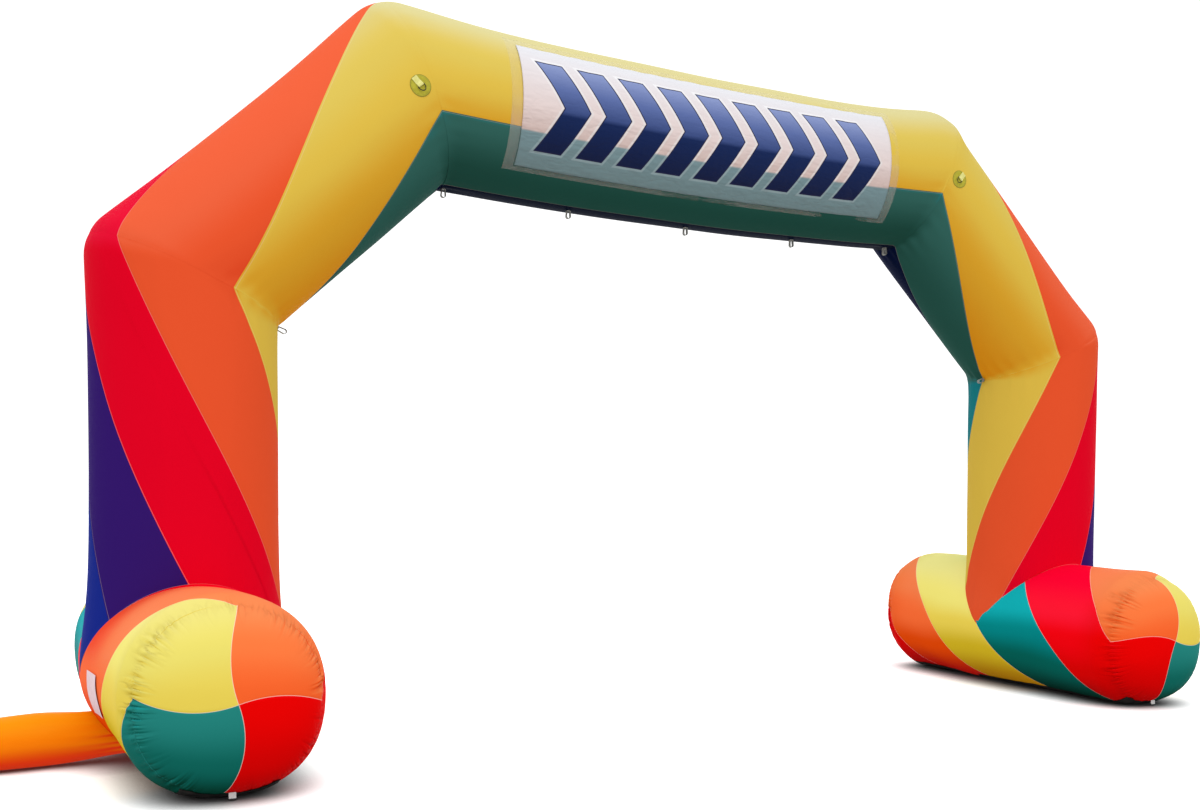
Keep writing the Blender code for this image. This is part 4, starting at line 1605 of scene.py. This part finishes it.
@dataclass
class FootTube:
    """A lying foot: a banded barrel and two gathered end panels.

    Round the foot, 0 degrees is +X and 90 degrees up.  The colour seams wind evenly
    along the barrel and turn a little more near its ends.
    """

    place: FootPlace
    finish: PanelCloth
    end_finish: PanelCloth
    phase_deg: float = 0.0
    columns: int = 200
    fine_times: int = 4
    straight: float = 1.220
    seam_y: float = 1.376
    seam_radius: float = 0.455
    apex_y: float = 1.580
    first_deg: float = -182.0
    twist_deg: float = -127.0
    end_turn_deg: float = 8.0
    end_turn_reach: float = 0.17
    sector_turn_deg: float = 23.0
    groove_depth: float = 0.0014
    groove_width: float = 0.008
    sector_groove_depth: float = 0.0012
    sector_groove_width: float = 0.007
    sector_lean: float = 0.93
    gathers: Gathers = Gathers()
    swell: float = 0.0016
    swell_waves: Waves = (2, 6)
    drift_waves: Waves = (2, 5)
    end_slope: float = 0.35
    crown_lead: float = 0.45
    crown_fullness: float = 0.68
    flat_height: float = 0.0023
    soft_floor: float = 0.0035
    skin_stretch: float = 1.12
    # Painted light: the red bounce and shade from the leg on the barrel's top, its strength,
    # reach and rise.
    glow: float = 0.0
    glow_reach: float = 0.20
    glow_rise: float = 0.20
    middle_rows: int = 111
    fine_steps: int = 20
    fine_gap: float = 0.01
    dome_rows: int = 35

    def seam_angle(self, band: Array, y: Array) -> Array:
        """Angle of a band coordinate.

        Args:
            band: 0 to FOOT_BANDS, with a colour seam at each whole number.
            y: distance along the barrel.

        Returns:
            An equal turn for each band, plus the even twist, plus a soft extra turn
            near each end; the left foot is the mirror of the right one.
        """
        near = smooth_step(self.seam_y - self.end_turn_reach, self.seam_y, np.abs(y))
        angle = BAND_DEG * band + self.first_deg + self.twist_deg * y
        angle = angle - np.sign(y) * near * self.end_turn_deg + self.phase_deg
        return angle if self.place.side is Side.RIGHT else 180.0 - angle

    def radius(self, y: Array) -> Array:
        """Plain radius along the barrel.

        Args:
            y: distance along the barrel.

        Returns:
            The straight barrel's radius, then a cubic that starts level and reaches
            the gathered seam with the end panel's own slope.
        """
        reach = self.seam_y - self.straight
        drop = FOOT_RADIUS - self.seam_radius
        past = np.maximum(0.0, np.abs(y) - self.straight) / reach
        cubic = self.end_slope * reach / drop - 2.0
        return FOOT_RADIUS - drop * ((1.0 - cubic) * past ** 2 + cubic * past ** 3)

    def dome(self, way: Array) -> tuple[Array, Array]:
        """Half section of an end panel.

        Args:
            way: 0 at the gathered seam and 1 at the crown.

        Returns:
            Radius and height over the seam on a cubic curve that leaves the seam with
            the barrel's slope and meets the axis square.
        """
        height = self.apex_y - self.seam_y
        lead = self.crown_lead * height
        first, second = (1.0 - way) ** 3, 3.0 * way * (1.0 - way) ** 2
        third, last = 3.0 * way ** 2 * (1.0 - way), way ** 3
        radius = (self.seam_radius * first + (self.seam_radius - self.end_slope * lead) * second
                  + self.crown_fullness * self.seam_radius * third)
        return radius, lead * second + height * (third + last)

    def gathers_seed(self, end: End) -> int:
        """The number that fixes the gathers' waves at one end."""
        return 40 + (3 if self.place.side is Side.LEFT else 0) + (7 if end is End.BACK else 0)

    def barrel_skin(self, band: Array, y: Array) -> tuple[Array, Array, Array]:
        """Barrel points in the row frame.

        Args:
            band: band coordinate, rows x columns.
            y: distance along the barrel, rows x columns.

        Returns:
            The points, on a circle of the barrel's radius plus the relief and set
            down softly on the floor; the distance to the nearest colour seam; and the
            strength of the puckers.
        """
        turn = np.radians(self.seam_angle(band, y))
        slope = math.radians(self.twist_deg) * FOOT_RADIUS
        part = np.abs(band - np.round(band))
        gap = np.radians(BAND_DEG * part) * FOOT_RADIUS * math.cos(math.atan(slope))
        away = (self.seam_y - np.abs(y)) * self.skin_stretch
        lift = -self.groove_depth * bump_at(gap, self.groove_width)
        pucker = np.zeros_like(y)
        for end in End:
            near = np.sign(y) == end.value
            height, strength = self.gathers.over(turn, away, self.gathers_seed(end))
            lift = lift + np.where(near, height, 0.0)
            pucker = pucker + np.where(near, strength, 0.0)
        seed = 90 if self.place.side is Side.LEFT else 95
        slow = Ripple(seed, *self.swell_waves)(turn + y)
        lift = lift + self.swell * slow * Ripple(seed + 1, *self.drift_waves)(y)
        radius = self.radius(y) + lift + self.place.swell(turn, y)
        x = radius * np.cos(turn)
        z = self.laid(FOOT_AXIS_HEIGHT + radius * np.sin(turn), self.flat_height)
        return self.place.to_row(np.stack([x, y, z], axis=-1)), gap, pucker

    def laid(self, height: Array, rest: float) -> Array:
        """Set cloth down softly.

        Args:
            height: the cloth's heights in free air.
            rest: the height that it lies at.

        Returns:
            The logarithm of 1 plus an exponential, which bends softly from rest into
            the free height.
        """
        return rest + self.soft_floor * np.logaddexp(0.0, (height - rest) / self.soft_floor)

    def leg_glow(self, points: Array) -> Array:
        """How much painted red bounce light and shade the leg casts on the barrel.

        Args:
            points: places on the barrel in the row frame.

        Returns:
            A bell of the distance to the leg, on the barrel's upper half alone.
        """
        local = self.place.to_foot(points)
        away = np.hypot(local[..., 0], local[..., 1]) - FOOT_RADIUS
        above = smooth_step(0.0, self.glow_rise, local[..., 2] - FOOT_AXIS_HEIGHT)
        return self.glow * above * bump_at(np.maximum(away, 0.0), self.glow_reach)

    def build_barrel(self) -> Piece:
        """Make the barrel.

        Returns:
            The piece: a coarse grid in the middle, a fine one at each gathered end,
            and a ring of many-cornered faces between them.
        """
        skin = Skin()
        stored = {"seam": [], "pucker": [], "turn": [], "off": [], "glow": []}
        middle = np.linspace(-self.straight, self.straight, self.middle_rows)
        fine_length = self.seam_y - self.straight - self.fine_gap
        fine_rows = crowd_to_ends(self.fine_steps, 0.3) * fine_length
        fine_columns = self.columns * self.fine_times
        spans = {
            "front": (-self.seam_y + fine_rows, fine_columns),
            "middle": (middle, self.columns),
            "back": (self.seam_y - fine_rows[::-1], fine_columns),
        }
        numbers, uvs, rims = {}, {}, {}
        for key, (ys, columns) in spans.items():
            band, y = np.meshgrid(np.arange(columns) * FOOT_BANDS / columns, ys)
            points, gap, pucker = self.barrel_skin(band, y)
            uv_band, uv_y = np.meshgrid(np.arange(columns + 1) * FOOT_BANDS / columns, ys)
            uvs[key] = np.stack([uv_band, uv_y], axis=-1)
            numbers[key] = skin.grid(points, uvs[key], True)
            rims[key] = points
            stored["seam"].append(gap)
            stored["pucker"].append(pucker)
            stored["turn"].append(np.radians(self.seam_angle(band, y)))
            stored["off"].append((np.abs(y) - self.seam_y) * self.skin_stretch)
            # Painted light: red bounce and shade from the leg.
            stored["glow"].append(self.leg_glow(points))
        skin.widen(numbers["middle"][0][::-1], numbers["front"][-1][::-1],
                   uvs["middle"][0][::-1], uvs["front"][-1][::-1])
        skin.widen(numbers["middle"][-1], numbers["back"][0], uvs["middle"][-1], uvs["back"][0])
        skin.fan(numbers["front"][0][::-1], rims["front"][0].mean(axis=0), uvs["front"][0][::-1])
        skin.fan(numbers["back"][-1], rims["back"][-1].mean(axis=0), uvs["back"][-1])
        mesh = skin.mesh("cloth_foot_" + self.place.side.word)
        for key, parts in stored.items():
            values = np.concatenate([part.ravel() for part in parts])
            store(mesh, key, np.append(values, (0.0, 0.0)))
        piece = show(mesh, self.finish.material(), "foot_" + self.place.side.word)
        return piece

    def build_end(self, end: End) -> Piece:
        """Make one end panel: a dome of four curved sectors.

        Args:
            end: which end of the foot.

        Returns:
            The piece.  Its radius and height follow the dome's half section, and the
            sector seams turn back towards the middle.
        """
        columns = self.columns * self.fine_times
        climb = (np.arange(self.dome_rows) / self.dome_rows) ** 1.2
        band, way = np.meshgrid(np.arange(columns) * FOOT_BANDS / columns, climb)
        plain, height = self.dome(way)
        share = plain / self.seam_radius
        mirror = 1.0 if self.place.side is Side.RIGHT else -1.0
        back_turn = end.value * mirror * self.sector_turn_deg
        rim = self.seam_angle(band, np.full_like(band, end.value * self.seam_y))
        angle = rim + back_turn * (1.0 - share)
        away = np.hypot(self.seam_radius - plain, height)
        part = np.abs(band - np.round(band))
        gap = np.radians(BAND_DEG * part) * plain * self.sector_lean
        turn = np.radians(angle)
        lift, pucker = self.gathers.over(turn, away, self.gathers_seed(end))
        groove = self.sector_groove_depth * bump_at(gap, self.sector_groove_width)
        lift = lift - groove * smooth_step(0.0, 0.25, share)
        form = self.place.form(end).swell(turn)
        radius = plain + form * share + lift * np.cos(way * math.pi / 2)
        height = self.seam_y + height + lift * np.sin(way * math.pi / 2)
        points = np.stack([radius * np.cos(turn), end.value * height,
                           FOOT_AXIS_HEIGHT + radius * np.sin(turn)], axis=-1)
        uv_band, uv_rise = np.meshgrid(np.arange(columns + 1) * FOOT_BANDS / columns, climb)
        uv = np.stack([uv_band, uv_rise * self.seam_radius], axis=-1)
        skin = Skin()
        points = self.place.to_row(points)
        numbers = skin.grid(points, uv, True)
        apex = np.array([0.0, end.value * self.apex_y, FOOT_AXIS_HEIGHT])
        skin.fan(numbers[-1], self.place.to_row(apex), uv[-1])
        skin.fan(numbers[0][::-1], points[0].mean(axis=0), uv[0][::-1])
        name = "end_%s_%s" % (end.word, self.place.side.word)
        mesh = skin.mesh("cloth_" + name)
        store(mesh, "seam", np.append(gap.ravel(), (0.0, 1.0)))
        for key, values in {"pucker": pucker, "turn": turn, "off": away}.items():
            store(mesh, key, np.append(values.ravel(), (0.0, 0.0)))
        piece = show(mesh, self.end_finish.material(), name)
        return piece


@dataclass
class WearPanel:
    """The black panel under a barrel, with its uneven cut edges."""

    foot: FootTube
    half_width: float = 0.234
    half_length: float = 1.356
    lift: float = 0.0022
    wall: float = 0.0018
    side_waves: Waves = (9, 40)
    side_ragged: float = 0.004
    end_waves: Waves = (6, 22)
    end_ragged: float = 0.003
    columns: int = 37
    rows: int = 141

    def build(self, material: Material) -> Piece:
        """Make the panel.

        Args:
            material: its finish.

        Returns:
            The piece: a sheet that follows the barrel's underside at a small lift
            and lies flat on the floor in the middle.  High powers of the distance
            from the middle keep the waves of each edge near it.
        """
        place = self.foot.place
        across, along = np.meshgrid(np.linspace(-1.0, 1.0, self.columns),
                                    np.linspace(-1.0, 1.0, self.rows))
        side = Ripple(71, *self.side_waves)(along * 1.5) * self.side_ragged
        end = Ripple(72, *self.end_waves)(across) * self.end_ragged
        x = across * (self.half_width + side * np.abs(across) ** 6)
        y = along * (self.half_length + end * np.abs(along) ** 30)
        free = FOOT_AXIS_HEIGHT + place.rise(x, y, self.foot.radius(y) + self.lift, -1.0)
        points = place.to_row(np.stack([x, y, self.foot.laid(free, self.wall)], axis=-1))
        skin = Skin()
        skin.grid(points, np.stack([x, y], axis=-1), False)
        name = "base_" + place.side.word
        mesh = skin.mesh("cloth_" + name, outward=False)
        piece = show(mesh, material, name)
        thicken(piece, self.wall, -UP, len(mesh.polygons) // 2)
        return piece


@dataclass
class BannerSet:
    """The clear pocket on the beam's front and the printed banner that it holds."""

    beam: AirTube
    half_length: float = 1.375
    low_deg: float = -47.0
    high_deg: float = 42.0
    pocket_half_length: float = 1.445
    pocket_low_deg: float = -51.5
    pocket_high_deg: float = 50.0
    pocket_lift: float = 0.0009
    pocket_wall: float = 0.0008
    pocket_ripple: float = 0.0006
    banner_lift: float = 0.0031
    banner_wall: float = 0.0012
    top_slack: float = 0.0030
    low_slack: float = 0.0034
    drape: float = 0.0016
    colour_change_deg: float = -20.5
    rounds: int = 4

    def build_pocket(self) -> Piece:
        """Make the film.

        Returns:
            The piece: a sheet close on the beam, with small ripples beside its hems.
        """
        length = 2.0 * self.pocket_half_length
        u, v = np.meshgrid(np.linspace(0.0, 1.0, 201), np.linspace(0.0, 1.0, 51))
        angle = self.pocket_low_deg + (self.pocket_high_deg - self.pocket_low_deg) * v
        width = math.radians(self.pocket_high_deg - self.pocket_low_deg) * TUBE_RADIUS
        edge = np.minimum(np.minimum(u, 1.0 - u) * length, np.minimum(v, 1.0 - v) * width)
        ripple = 0.5 + 0.5 * np.tanh(Ripple(11, 30, 70)(u * math.pi))
        beside_hem = smooth_step(0.0, 0.012, edge) * bump_at(edge, 0.03)
        lift = self.pocket_lift + self.pocket_ripple * ripple * beside_hem
        along = self.beam.length / 2 + (u - 0.5) * length
        points = self.beam.over(angle, along, lift, self.rounds)
        skin = Skin()
        skin.grid(points, np.stack([u * length, v * width], axis=-1), False)
        mesh = skin.mesh("film_banner_pocket", outward=False)
        piece = show(mesh, PocketFilm(length=length, width=width).material(),
                     "banner_pocket")
        thicken(piece, self.pocket_wall, FORWARD, len(mesh.polygons) // 2)
        return piece

    def build_banner(self) -> Piece:
        """Make the banner.

        Returns:
            The piece: a sheet with slack ripples along its upper and lower edge and
            slow waves between them.
        """
        length = 2.0 * self.half_length
        u, v = np.meshgrid(np.linspace(0.0, 1.0, 231), np.linspace(0.0, 1.0, 61))
        angle = self.low_deg + (self.high_deg - self.low_deg) * v
        width = math.radians(self.high_deg - self.low_deg) * TUBE_RADIUS
        x = (u - 0.5) * length
        top = 0.5 + 0.5 * np.tanh(Ripple(21, 22, 46)(x * 1.1))
        low = 0.5 + 0.5 * np.tanh(Ripple(22, 16, 38)(x * 1.1))
        slack = self.top_slack * top * smooth_step(0.55, 1.0, v)
        slack = slack + self.low_slack * low * smooth_step(0.45, 0.0, v)
        drape = self.drape * (1.0 + np.sin(2.0 * math.pi * (x * 1.7 + v * 0.6)))
        lift = self.banner_lift + slack + drape * np.sin(math.pi * v) ** 2
        points = self.beam.over(angle, self.beam.length / 2 + x, lift, self.rounds)
        skin = Skin()
        skin.grid(points, np.stack([x, v * width], axis=-1), False)
        mesh = skin.mesh("cloth_banner", outward=False)
        # Where the banner lies against the tube's colour change, for its painted see-through and
        # painted shade.
        pale_deg = self.high_deg - self.colour_change_deg
        shade_and_see_through = 0.5 + (angle - self.colour_change_deg) / (2.0 * pale_deg)
        store(mesh, "shows_through", np.clip(shade_and_see_through, 0.0, 1.0))
        piece = show(mesh, PrintedBanner(centre=width / 2).material(), "banner")
        thicken(piece, self.banner_wall, FORWARD, len(mesh.polygons) // 2)
        return piece


@dataclass
class TetherPatch:
    """Round patch beside a shoulder seam, on the front of the slanting tube."""

    tube: AirTube
    side: Side
    radius: float = 0.062
    to_seam: float = 0.090
    lift: float = 0.0010
    swell: float = 0.0012
    wall: float = 0.0008
    rings: int = 18
    spokes: int = 72
    rounds: int = 6

    def build(self, material: Material) -> Piece:
        """Make the patch: rings of points, wrapped on the tube.

        Args:
            material: its finish.

        Returns:
            The piece, a disc whose rim is sewn down and whose middle swells slightly.
        """
        rings = np.linspace(0.0, self.radius, self.rings + 1)[1:]
        turns = np.arange(self.spokes + 1) / self.spokes
        uv = np.stack(np.meshgrid(rings, turns, indexing="ij"), axis=-1)
        away, circle = uv[:, :-1, 0], uv[:, :-1, 1] * 2.0 * math.pi
        angle = np.degrees(away * np.sin(circle) / self.tube.radius)
        front = self.tube.arm(np.zeros(1)) * self.tube.radius
        middle = self.tube.reach(front, self.tube.end, self.tube.end_seam, 0.0) - self.to_seam
        lift = self.lift + self.swell * np.cos(away / self.radius * math.pi / 2)
        points = self.tube.over(angle, middle + away * np.cos(circle), lift, self.rounds)
        top = self.lift + self.swell
        centre = self.tube.over(np.zeros(1), middle, top, self.rounds)[0]
        skin = Skin()
        numbers = skin.grid(points, uv, True)
        skin.fan(numbers[0][::-1], centre, uv[0][::-1])
        name = "patch_" + self.side.word
        piece = show(skin.mesh("cloth_" + name, outward=False), material, name)
        thicken(piece, self.wall, FORWARD)
        size = 2.0 * self.radius
        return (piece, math.pi * self.radius ** 2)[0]


@dataclass
class CareLabel:
    """Bare woven label on the outer side of the left foot."""

    foot: FootTube
    low_y: float = -0.530
    high_y: float = -0.265
    low_deg: float = 175.0
    high_deg: float = 201.0
    lift: float = 0.0030
    edge_curl: float = 0.0016
    slack: float = 0.0010
    wall: float = 0.0007

    def build(self, material: Material) -> Piece:
        """Make the label.

        Args:
            material: its finish.

        Returns:
            The piece: a sheet round the barrel, with slow waves and its two upright
            edges lifted a little.
        """
        u, v = np.meshgrid(np.linspace(0.0, 1.0, 33), np.linspace(0.0, 1.0, 49))
        angle = np.radians(self.low_deg + (self.high_deg - self.low_deg) * v)
        y = self.low_y + (self.high_y - self.low_y) * u
        curl = self.edge_curl * np.abs(2.0 * u - 1.0) ** 3
        curl = curl + self.slack * (1.0 + np.sin(7.0 * v + 4.0 * u))
        radius = FOOT_RADIUS + self.foot.place.swell(angle, y) + self.lift + curl
        points = np.stack([radius * np.cos(angle), y,
                           FOOT_AXIS_HEIGHT + radius * np.sin(angle)], axis=-1)
        skin = Skin()
        skin.grid(self.foot.place.to_row(points), np.stack([u, v], axis=-1), False)
        piece = show(skin.mesh("cloth_label", outward=False), material, "label")
        thicken(piece, self.wall, (-1.0, 0.0, 0.0))
        width = self.high_y - self.low_y
        length = math.radians(self.high_deg - self.low_deg) * FOOT_RADIUS
        return piece


@dataclass
class AirSleeve:
    """Open sleeve for the blower on the outer side of the left foot."""

    foot: FootTube
    radius: float = 0.138
    height: float = 0.160
    end: float = 1.012
    hem: float = 0.030
    root_share: float = 0.87
    root_depth: float = 0.004
    leaves_foot_at: float = 0.33
    droop: float = 0.016
    aside: float = 0.070
    fold_height: float = 0.0045
    fold_reach: float = 0.10
    dent_depth: float = 0.0030
    fullness: float = 0.0022
    hem_rise: float = 0.0016
    hem_groove: float = 0.0014
    wall: float = 0.0015
    inset: float = 0.0004
    columns: int = 120
    rows: int = 90

    def build(self, material: Material) -> Piece:
        """Make the sleeve.

        Args:
            material: its finish.

        Returns:
            The piece: circles along -X from the barrel's side to the open mouth,
            narrower at the root, sinking and leaning to the front on the way, with
            folds at the root, slow dents and a raised hem.
        """
        ways = crowd_to_ends(self.rows, 0.5)
        turn, way = np.meshgrid(np.arange(self.columns) * 2.0 * math.pi / self.columns, ways)
        widening = (1.0 - self.root_share) * smooth_step(0.0, 0.6, way)
        full = self.radius * (self.root_share + widening)
        level = self.height + self.radius * self.root_share * np.sin(turn)
        barrel = np.sqrt(FOOT_RADIUS ** 2 - (level - FOOT_AXIS_HEIGHT) ** 2)
        root = barrel - self.root_depth
        along = root + (self.end - root) * way
        folds = Ripple(31, 9, 20)(turn) * np.exp(-((along - root) / self.fold_reach) ** 1.3)
        dents = Ripple(32, 2, 4)(turn + along * 1.3)
        lift = self.fold_height * folds
        lift = lift + (self.dent_depth * dents + self.fullness) * np.sin(math.pi * way)
        past_hem = along - (self.end - self.hem)
        lift = lift + self.hem_rise * smooth_step(0.0, 0.002, past_hem)
        lift = lift - self.hem_groove * bump_at(past_hem, 0.0035)
        radius = full - self.inset + lift
        points = np.stack([-along, radius * np.cos(turn) - self.aside * way,
                           self.height - self.droop * way + radius * np.sin(turn)], axis=-1)
        skin = Skin()
        uv_turn, uv_way = np.meshgrid(np.arange(self.columns + 1) / self.columns, ways)
        skin.grid(self.foot.place.to_row(points), np.stack([uv_turn, uv_way], axis=-1), True)
        mesh = skin.mesh("cloth_air_sleeve", outward=False)
        piece = show(mesh, material, "air_sleeve")
        number = self.columns // 2
        centre = mesh.polygons[number].center
        thicken(piece, self.wall, (0.0, -centre.y, self.height - centre.z), number)
        length = self.end - self.leaves_foot_at
        return (piece, 2.0 * math.pi * self.radius)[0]


@dataclass
class Hardware:
    """Webbing loops, straps, tabs and rings: frame nodes that keep their shape."""

    nodes: dict[str, Piece]

    FINISHES: ClassVar[dict[str, Webbing | MouldedPlastic]] = {
        "loop_": Webbing("loop_webbing", (0.42, 0.43, 0.39), (0.14, 0.14, 0.13)),
        "anchor_tab": Webbing("tab_webbing", (0.74, 0.74, 0.72), (0.45, 0.45, 0.44)),
        "strap": Webbing("strap_webbing", (0.84, 0.82, 0.34), (0.50, 0.46, 0.08)),
        "ring": MouldedPlastic(),
        "anchor_ring": MouldedPlastic("anchor_ring_plastic"),
    }

    def dress(self) -> None:
        """Give each node its finish."""
        for start, finish in self.FINISHES.items():
            material = finish.material()
            for name, node in self.nodes.items():
                if name.startswith(start):
                    node.data.materials.clear()
                    node.data.materials.append(material)
                    LOG.info("%s: dressed", name)


# ---------------------------------------------------------------------- stage
@dataclass
class Studio:
    """A pale floor, soft light from a bright upper sky, and the camera."""

    floor_half: float = 120.0
    floor_drop: float = 0.0005
    floor_tones: tuple[Rgb, Rgb] = ((0.93, 0.93, 0.93), (0.96, 0.96, 0.96))
    # Painted light: the floor's own glow, which lifts its open parts to white.
    floor_glow: float = 0.48
    shadow_tone: Rgb = (0.12, 0.12, 0.12)
    shadow_reach: float = 0.36
    shadow_span: Pair = (0.08, 0.82)
    sky: Stops = ((0.0, (0.55, 0.55, 0.56)), (0.46, (0.62, 0.62, 0.63)),
                  (0.48, (1.0, 1.0, 1.0)), (1.0, (1.0, 1.0, 1.0)))
    sky_strength: float = 1.22
    lamp_size: float = 9.0
    lamp_power: float = 317.0
    lamp_place: tuple[float, float, float] = (-3.0, -7.0, 11.0)
    lamp_aim: tuple[float, float, float] = (0.3, 0.0, 1.5)
    camera_place: tuple[float, float, float] = (-4.0403, -7.8711, 1.4602)
    yaw: float = 0.527289
    pitch: float = -0.066482
    roll: float = 0.0083547
    lens: float = 38.478
    sensor: float = 36.0
    shift: Pair = (-0.10154, 0.15318)

    def build_floor(self) -> None:
        """Make the floor, a plain pale plane with a painted glow, and a painted shadow close to
        what stands on it.
        """
        half = self.floor_half
        square = ((-half, -half), (half, -half), (half, half), (-half, half))
        mesh = bpy.data.meshes.new("floor")
        mesh.from_pydata([(x, y, -self.floor_drop) for x, y in square], [], [(0, 1, 2, 3)])
        floor = add_object("floor", mesh)
        nodes = Nodes("pale_floor")
        tone = nodes.noise(nodes.place(), 0.7, 2.0)
        # Painted shadow: close to what stands on the floor its colour darkens and its painted
        # glow is taken away.
        free = nodes.openness(self.shadow_reach).step(*self.shadow_span)
        colour = nodes.mix(free, self.shadow_tone, nodes.mix(tone, *self.floor_tones))
        glow = nodes.mix(free, (0.0, 0.0, 0.0), (1.0, 1.0, 1.0))
        mesh.materials.append(nodes.shade(
            Base_Color=colour, Roughness=0.9, Emission_Color=glow,
            Emission_Strength=self.floor_glow, Specular_IOR_Level=0.1))
        floor.visible_diffuse = False

    def build_light(self) -> None:
        """Make the soft sky, brightest above, and one wide lamp over the front."""
        nodes = Nodes("soft_sky", Owner.WORLD)
        up = nodes.parts(nodes.add("ShaderNodeTexCoord").outputs["Generated"])[2]
        sky = nodes.ramp(up * 0.5 + 0.5, self.sky)
        bpy.context.scene.world = nodes.shade(Color=sky, Strength=self.sky_strength)
        lamp = bpy.data.lights.new("soft_box", "AREA")
        lamp.shape = "DISK"
        lamp.size = self.lamp_size
        lamp.energy = self.lamp_power
        holder = add_object("soft_box", lamp)
        holder.location = self.lamp_place
        aim = Vector(self.lamp_aim) - holder.location
        holder.rotation_euler = aim.to_track_quat("-Z", "Y").to_euler()

    def build_camera(self) -> None:
        """Set the camera from its place, its heading and its tilts."""
        forward = Vector((math.sin(self.yaw) * math.cos(self.pitch),
                          math.cos(self.yaw) * math.cos(self.pitch), math.sin(self.pitch)))
        level = Vector((math.cos(self.yaw), -math.sin(self.yaw), 0.0))
        upright = level.cross(forward)
        right = math.cos(self.roll) * level + math.sin(self.roll) * upright
        over = -math.sin(self.roll) * level + math.cos(self.roll) * upright
        data = bpy.data.cameras.new("camera")
        data.sensor_fit = "HORIZONTAL"
        data.sensor_width = self.sensor
        data.lens = self.lens
        data.shift_x, data.shift_y = self.shift
        camera = add_object("camera", data)
        axes = Matrix((right, over, -forward)).transposed().to_4x4()
        camera.matrix_world = Matrix.Translation(self.camera_place) @ axes
        bpy.context.scene.camera = camera

    def build(self) -> None:
        """Make the floor, the light and the camera."""
        self.build_floor()
        self.build_light()
        self.build_camera()
        bpy.context.scene.view_settings.view_transform = "Standard"


def corners(bounds: tuple[Vector, Vector]) -> list[list[float]]:
    """Both corners of a box as plain lists."""
    return [[float(value) for value in corner] for corner in bounds]


def main() -> None:
    """Load the frame, build and dress every piece."""
    logging.basicConfig(level=logging.INFO, format="%(message)s")
    for item in list(bpy.data.objects):
        bpy.data.objects.remove(item, do_unlink=True)
    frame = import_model()
    Studio().build()

    arch = ArchFrame()
    arch.build()
    wear = PlainCloth("wear_cloth", (0.016, 0.014, 0.012), (0.006, 0.005, 0.005), 0.75).material()
    feet = {}
    for side, place in FEET.items():
        cloth = PanelCloth("foot_cloth_" + side.word, tuple(BARREL_DYES_WITH_PAINTED_SHADE.values()),
                           tuple(END_DYES_WITH_PAINTED_SHADE.values()), thread_half=0.0014)
        end_cloth = PanelCloth("end_cloth_" + side.word, tuple(END_DYES_WITH_PAINTED_SHADE.values()),
                               thread_half=0.0014)
        left = side is Side.LEFT
        # Only the left foot gets the painted red bounce light and shade from its leg.
        foot = FootTube(place, cloth, end_cloth, phase_deg=4.0 if left else 0.0,
                        glow=0.95 if left else 0.0)
        foot.build_barrel()
        for end in End:
            foot.build_end(end)
        WearPanel(foot).build(wear)
        feet[side] = foot

    banner = BannerSet(arch.tubes["beam"])
    banner.build_pocket()
    banner.build_banner()
    patch_cloth = PatchCloth().material()
    for side in Side:
        TetherPatch(arch.tubes["shoulder_" + side.word], side).build(patch_cloth)
    label = PlainCloth("label_cloth", (0.78, 0.62, 0.66), (0.70, 0.53, 0.58), 0.55, 40.0)
    CareLabel(feet[Side.LEFT]).build(label.material())
    AirSleeve(feet[Side.LEFT]).build(SleeveCloth().material())
    Hardware(frame["nodes"]).dress()


if __name__ == "__main__":
    main()
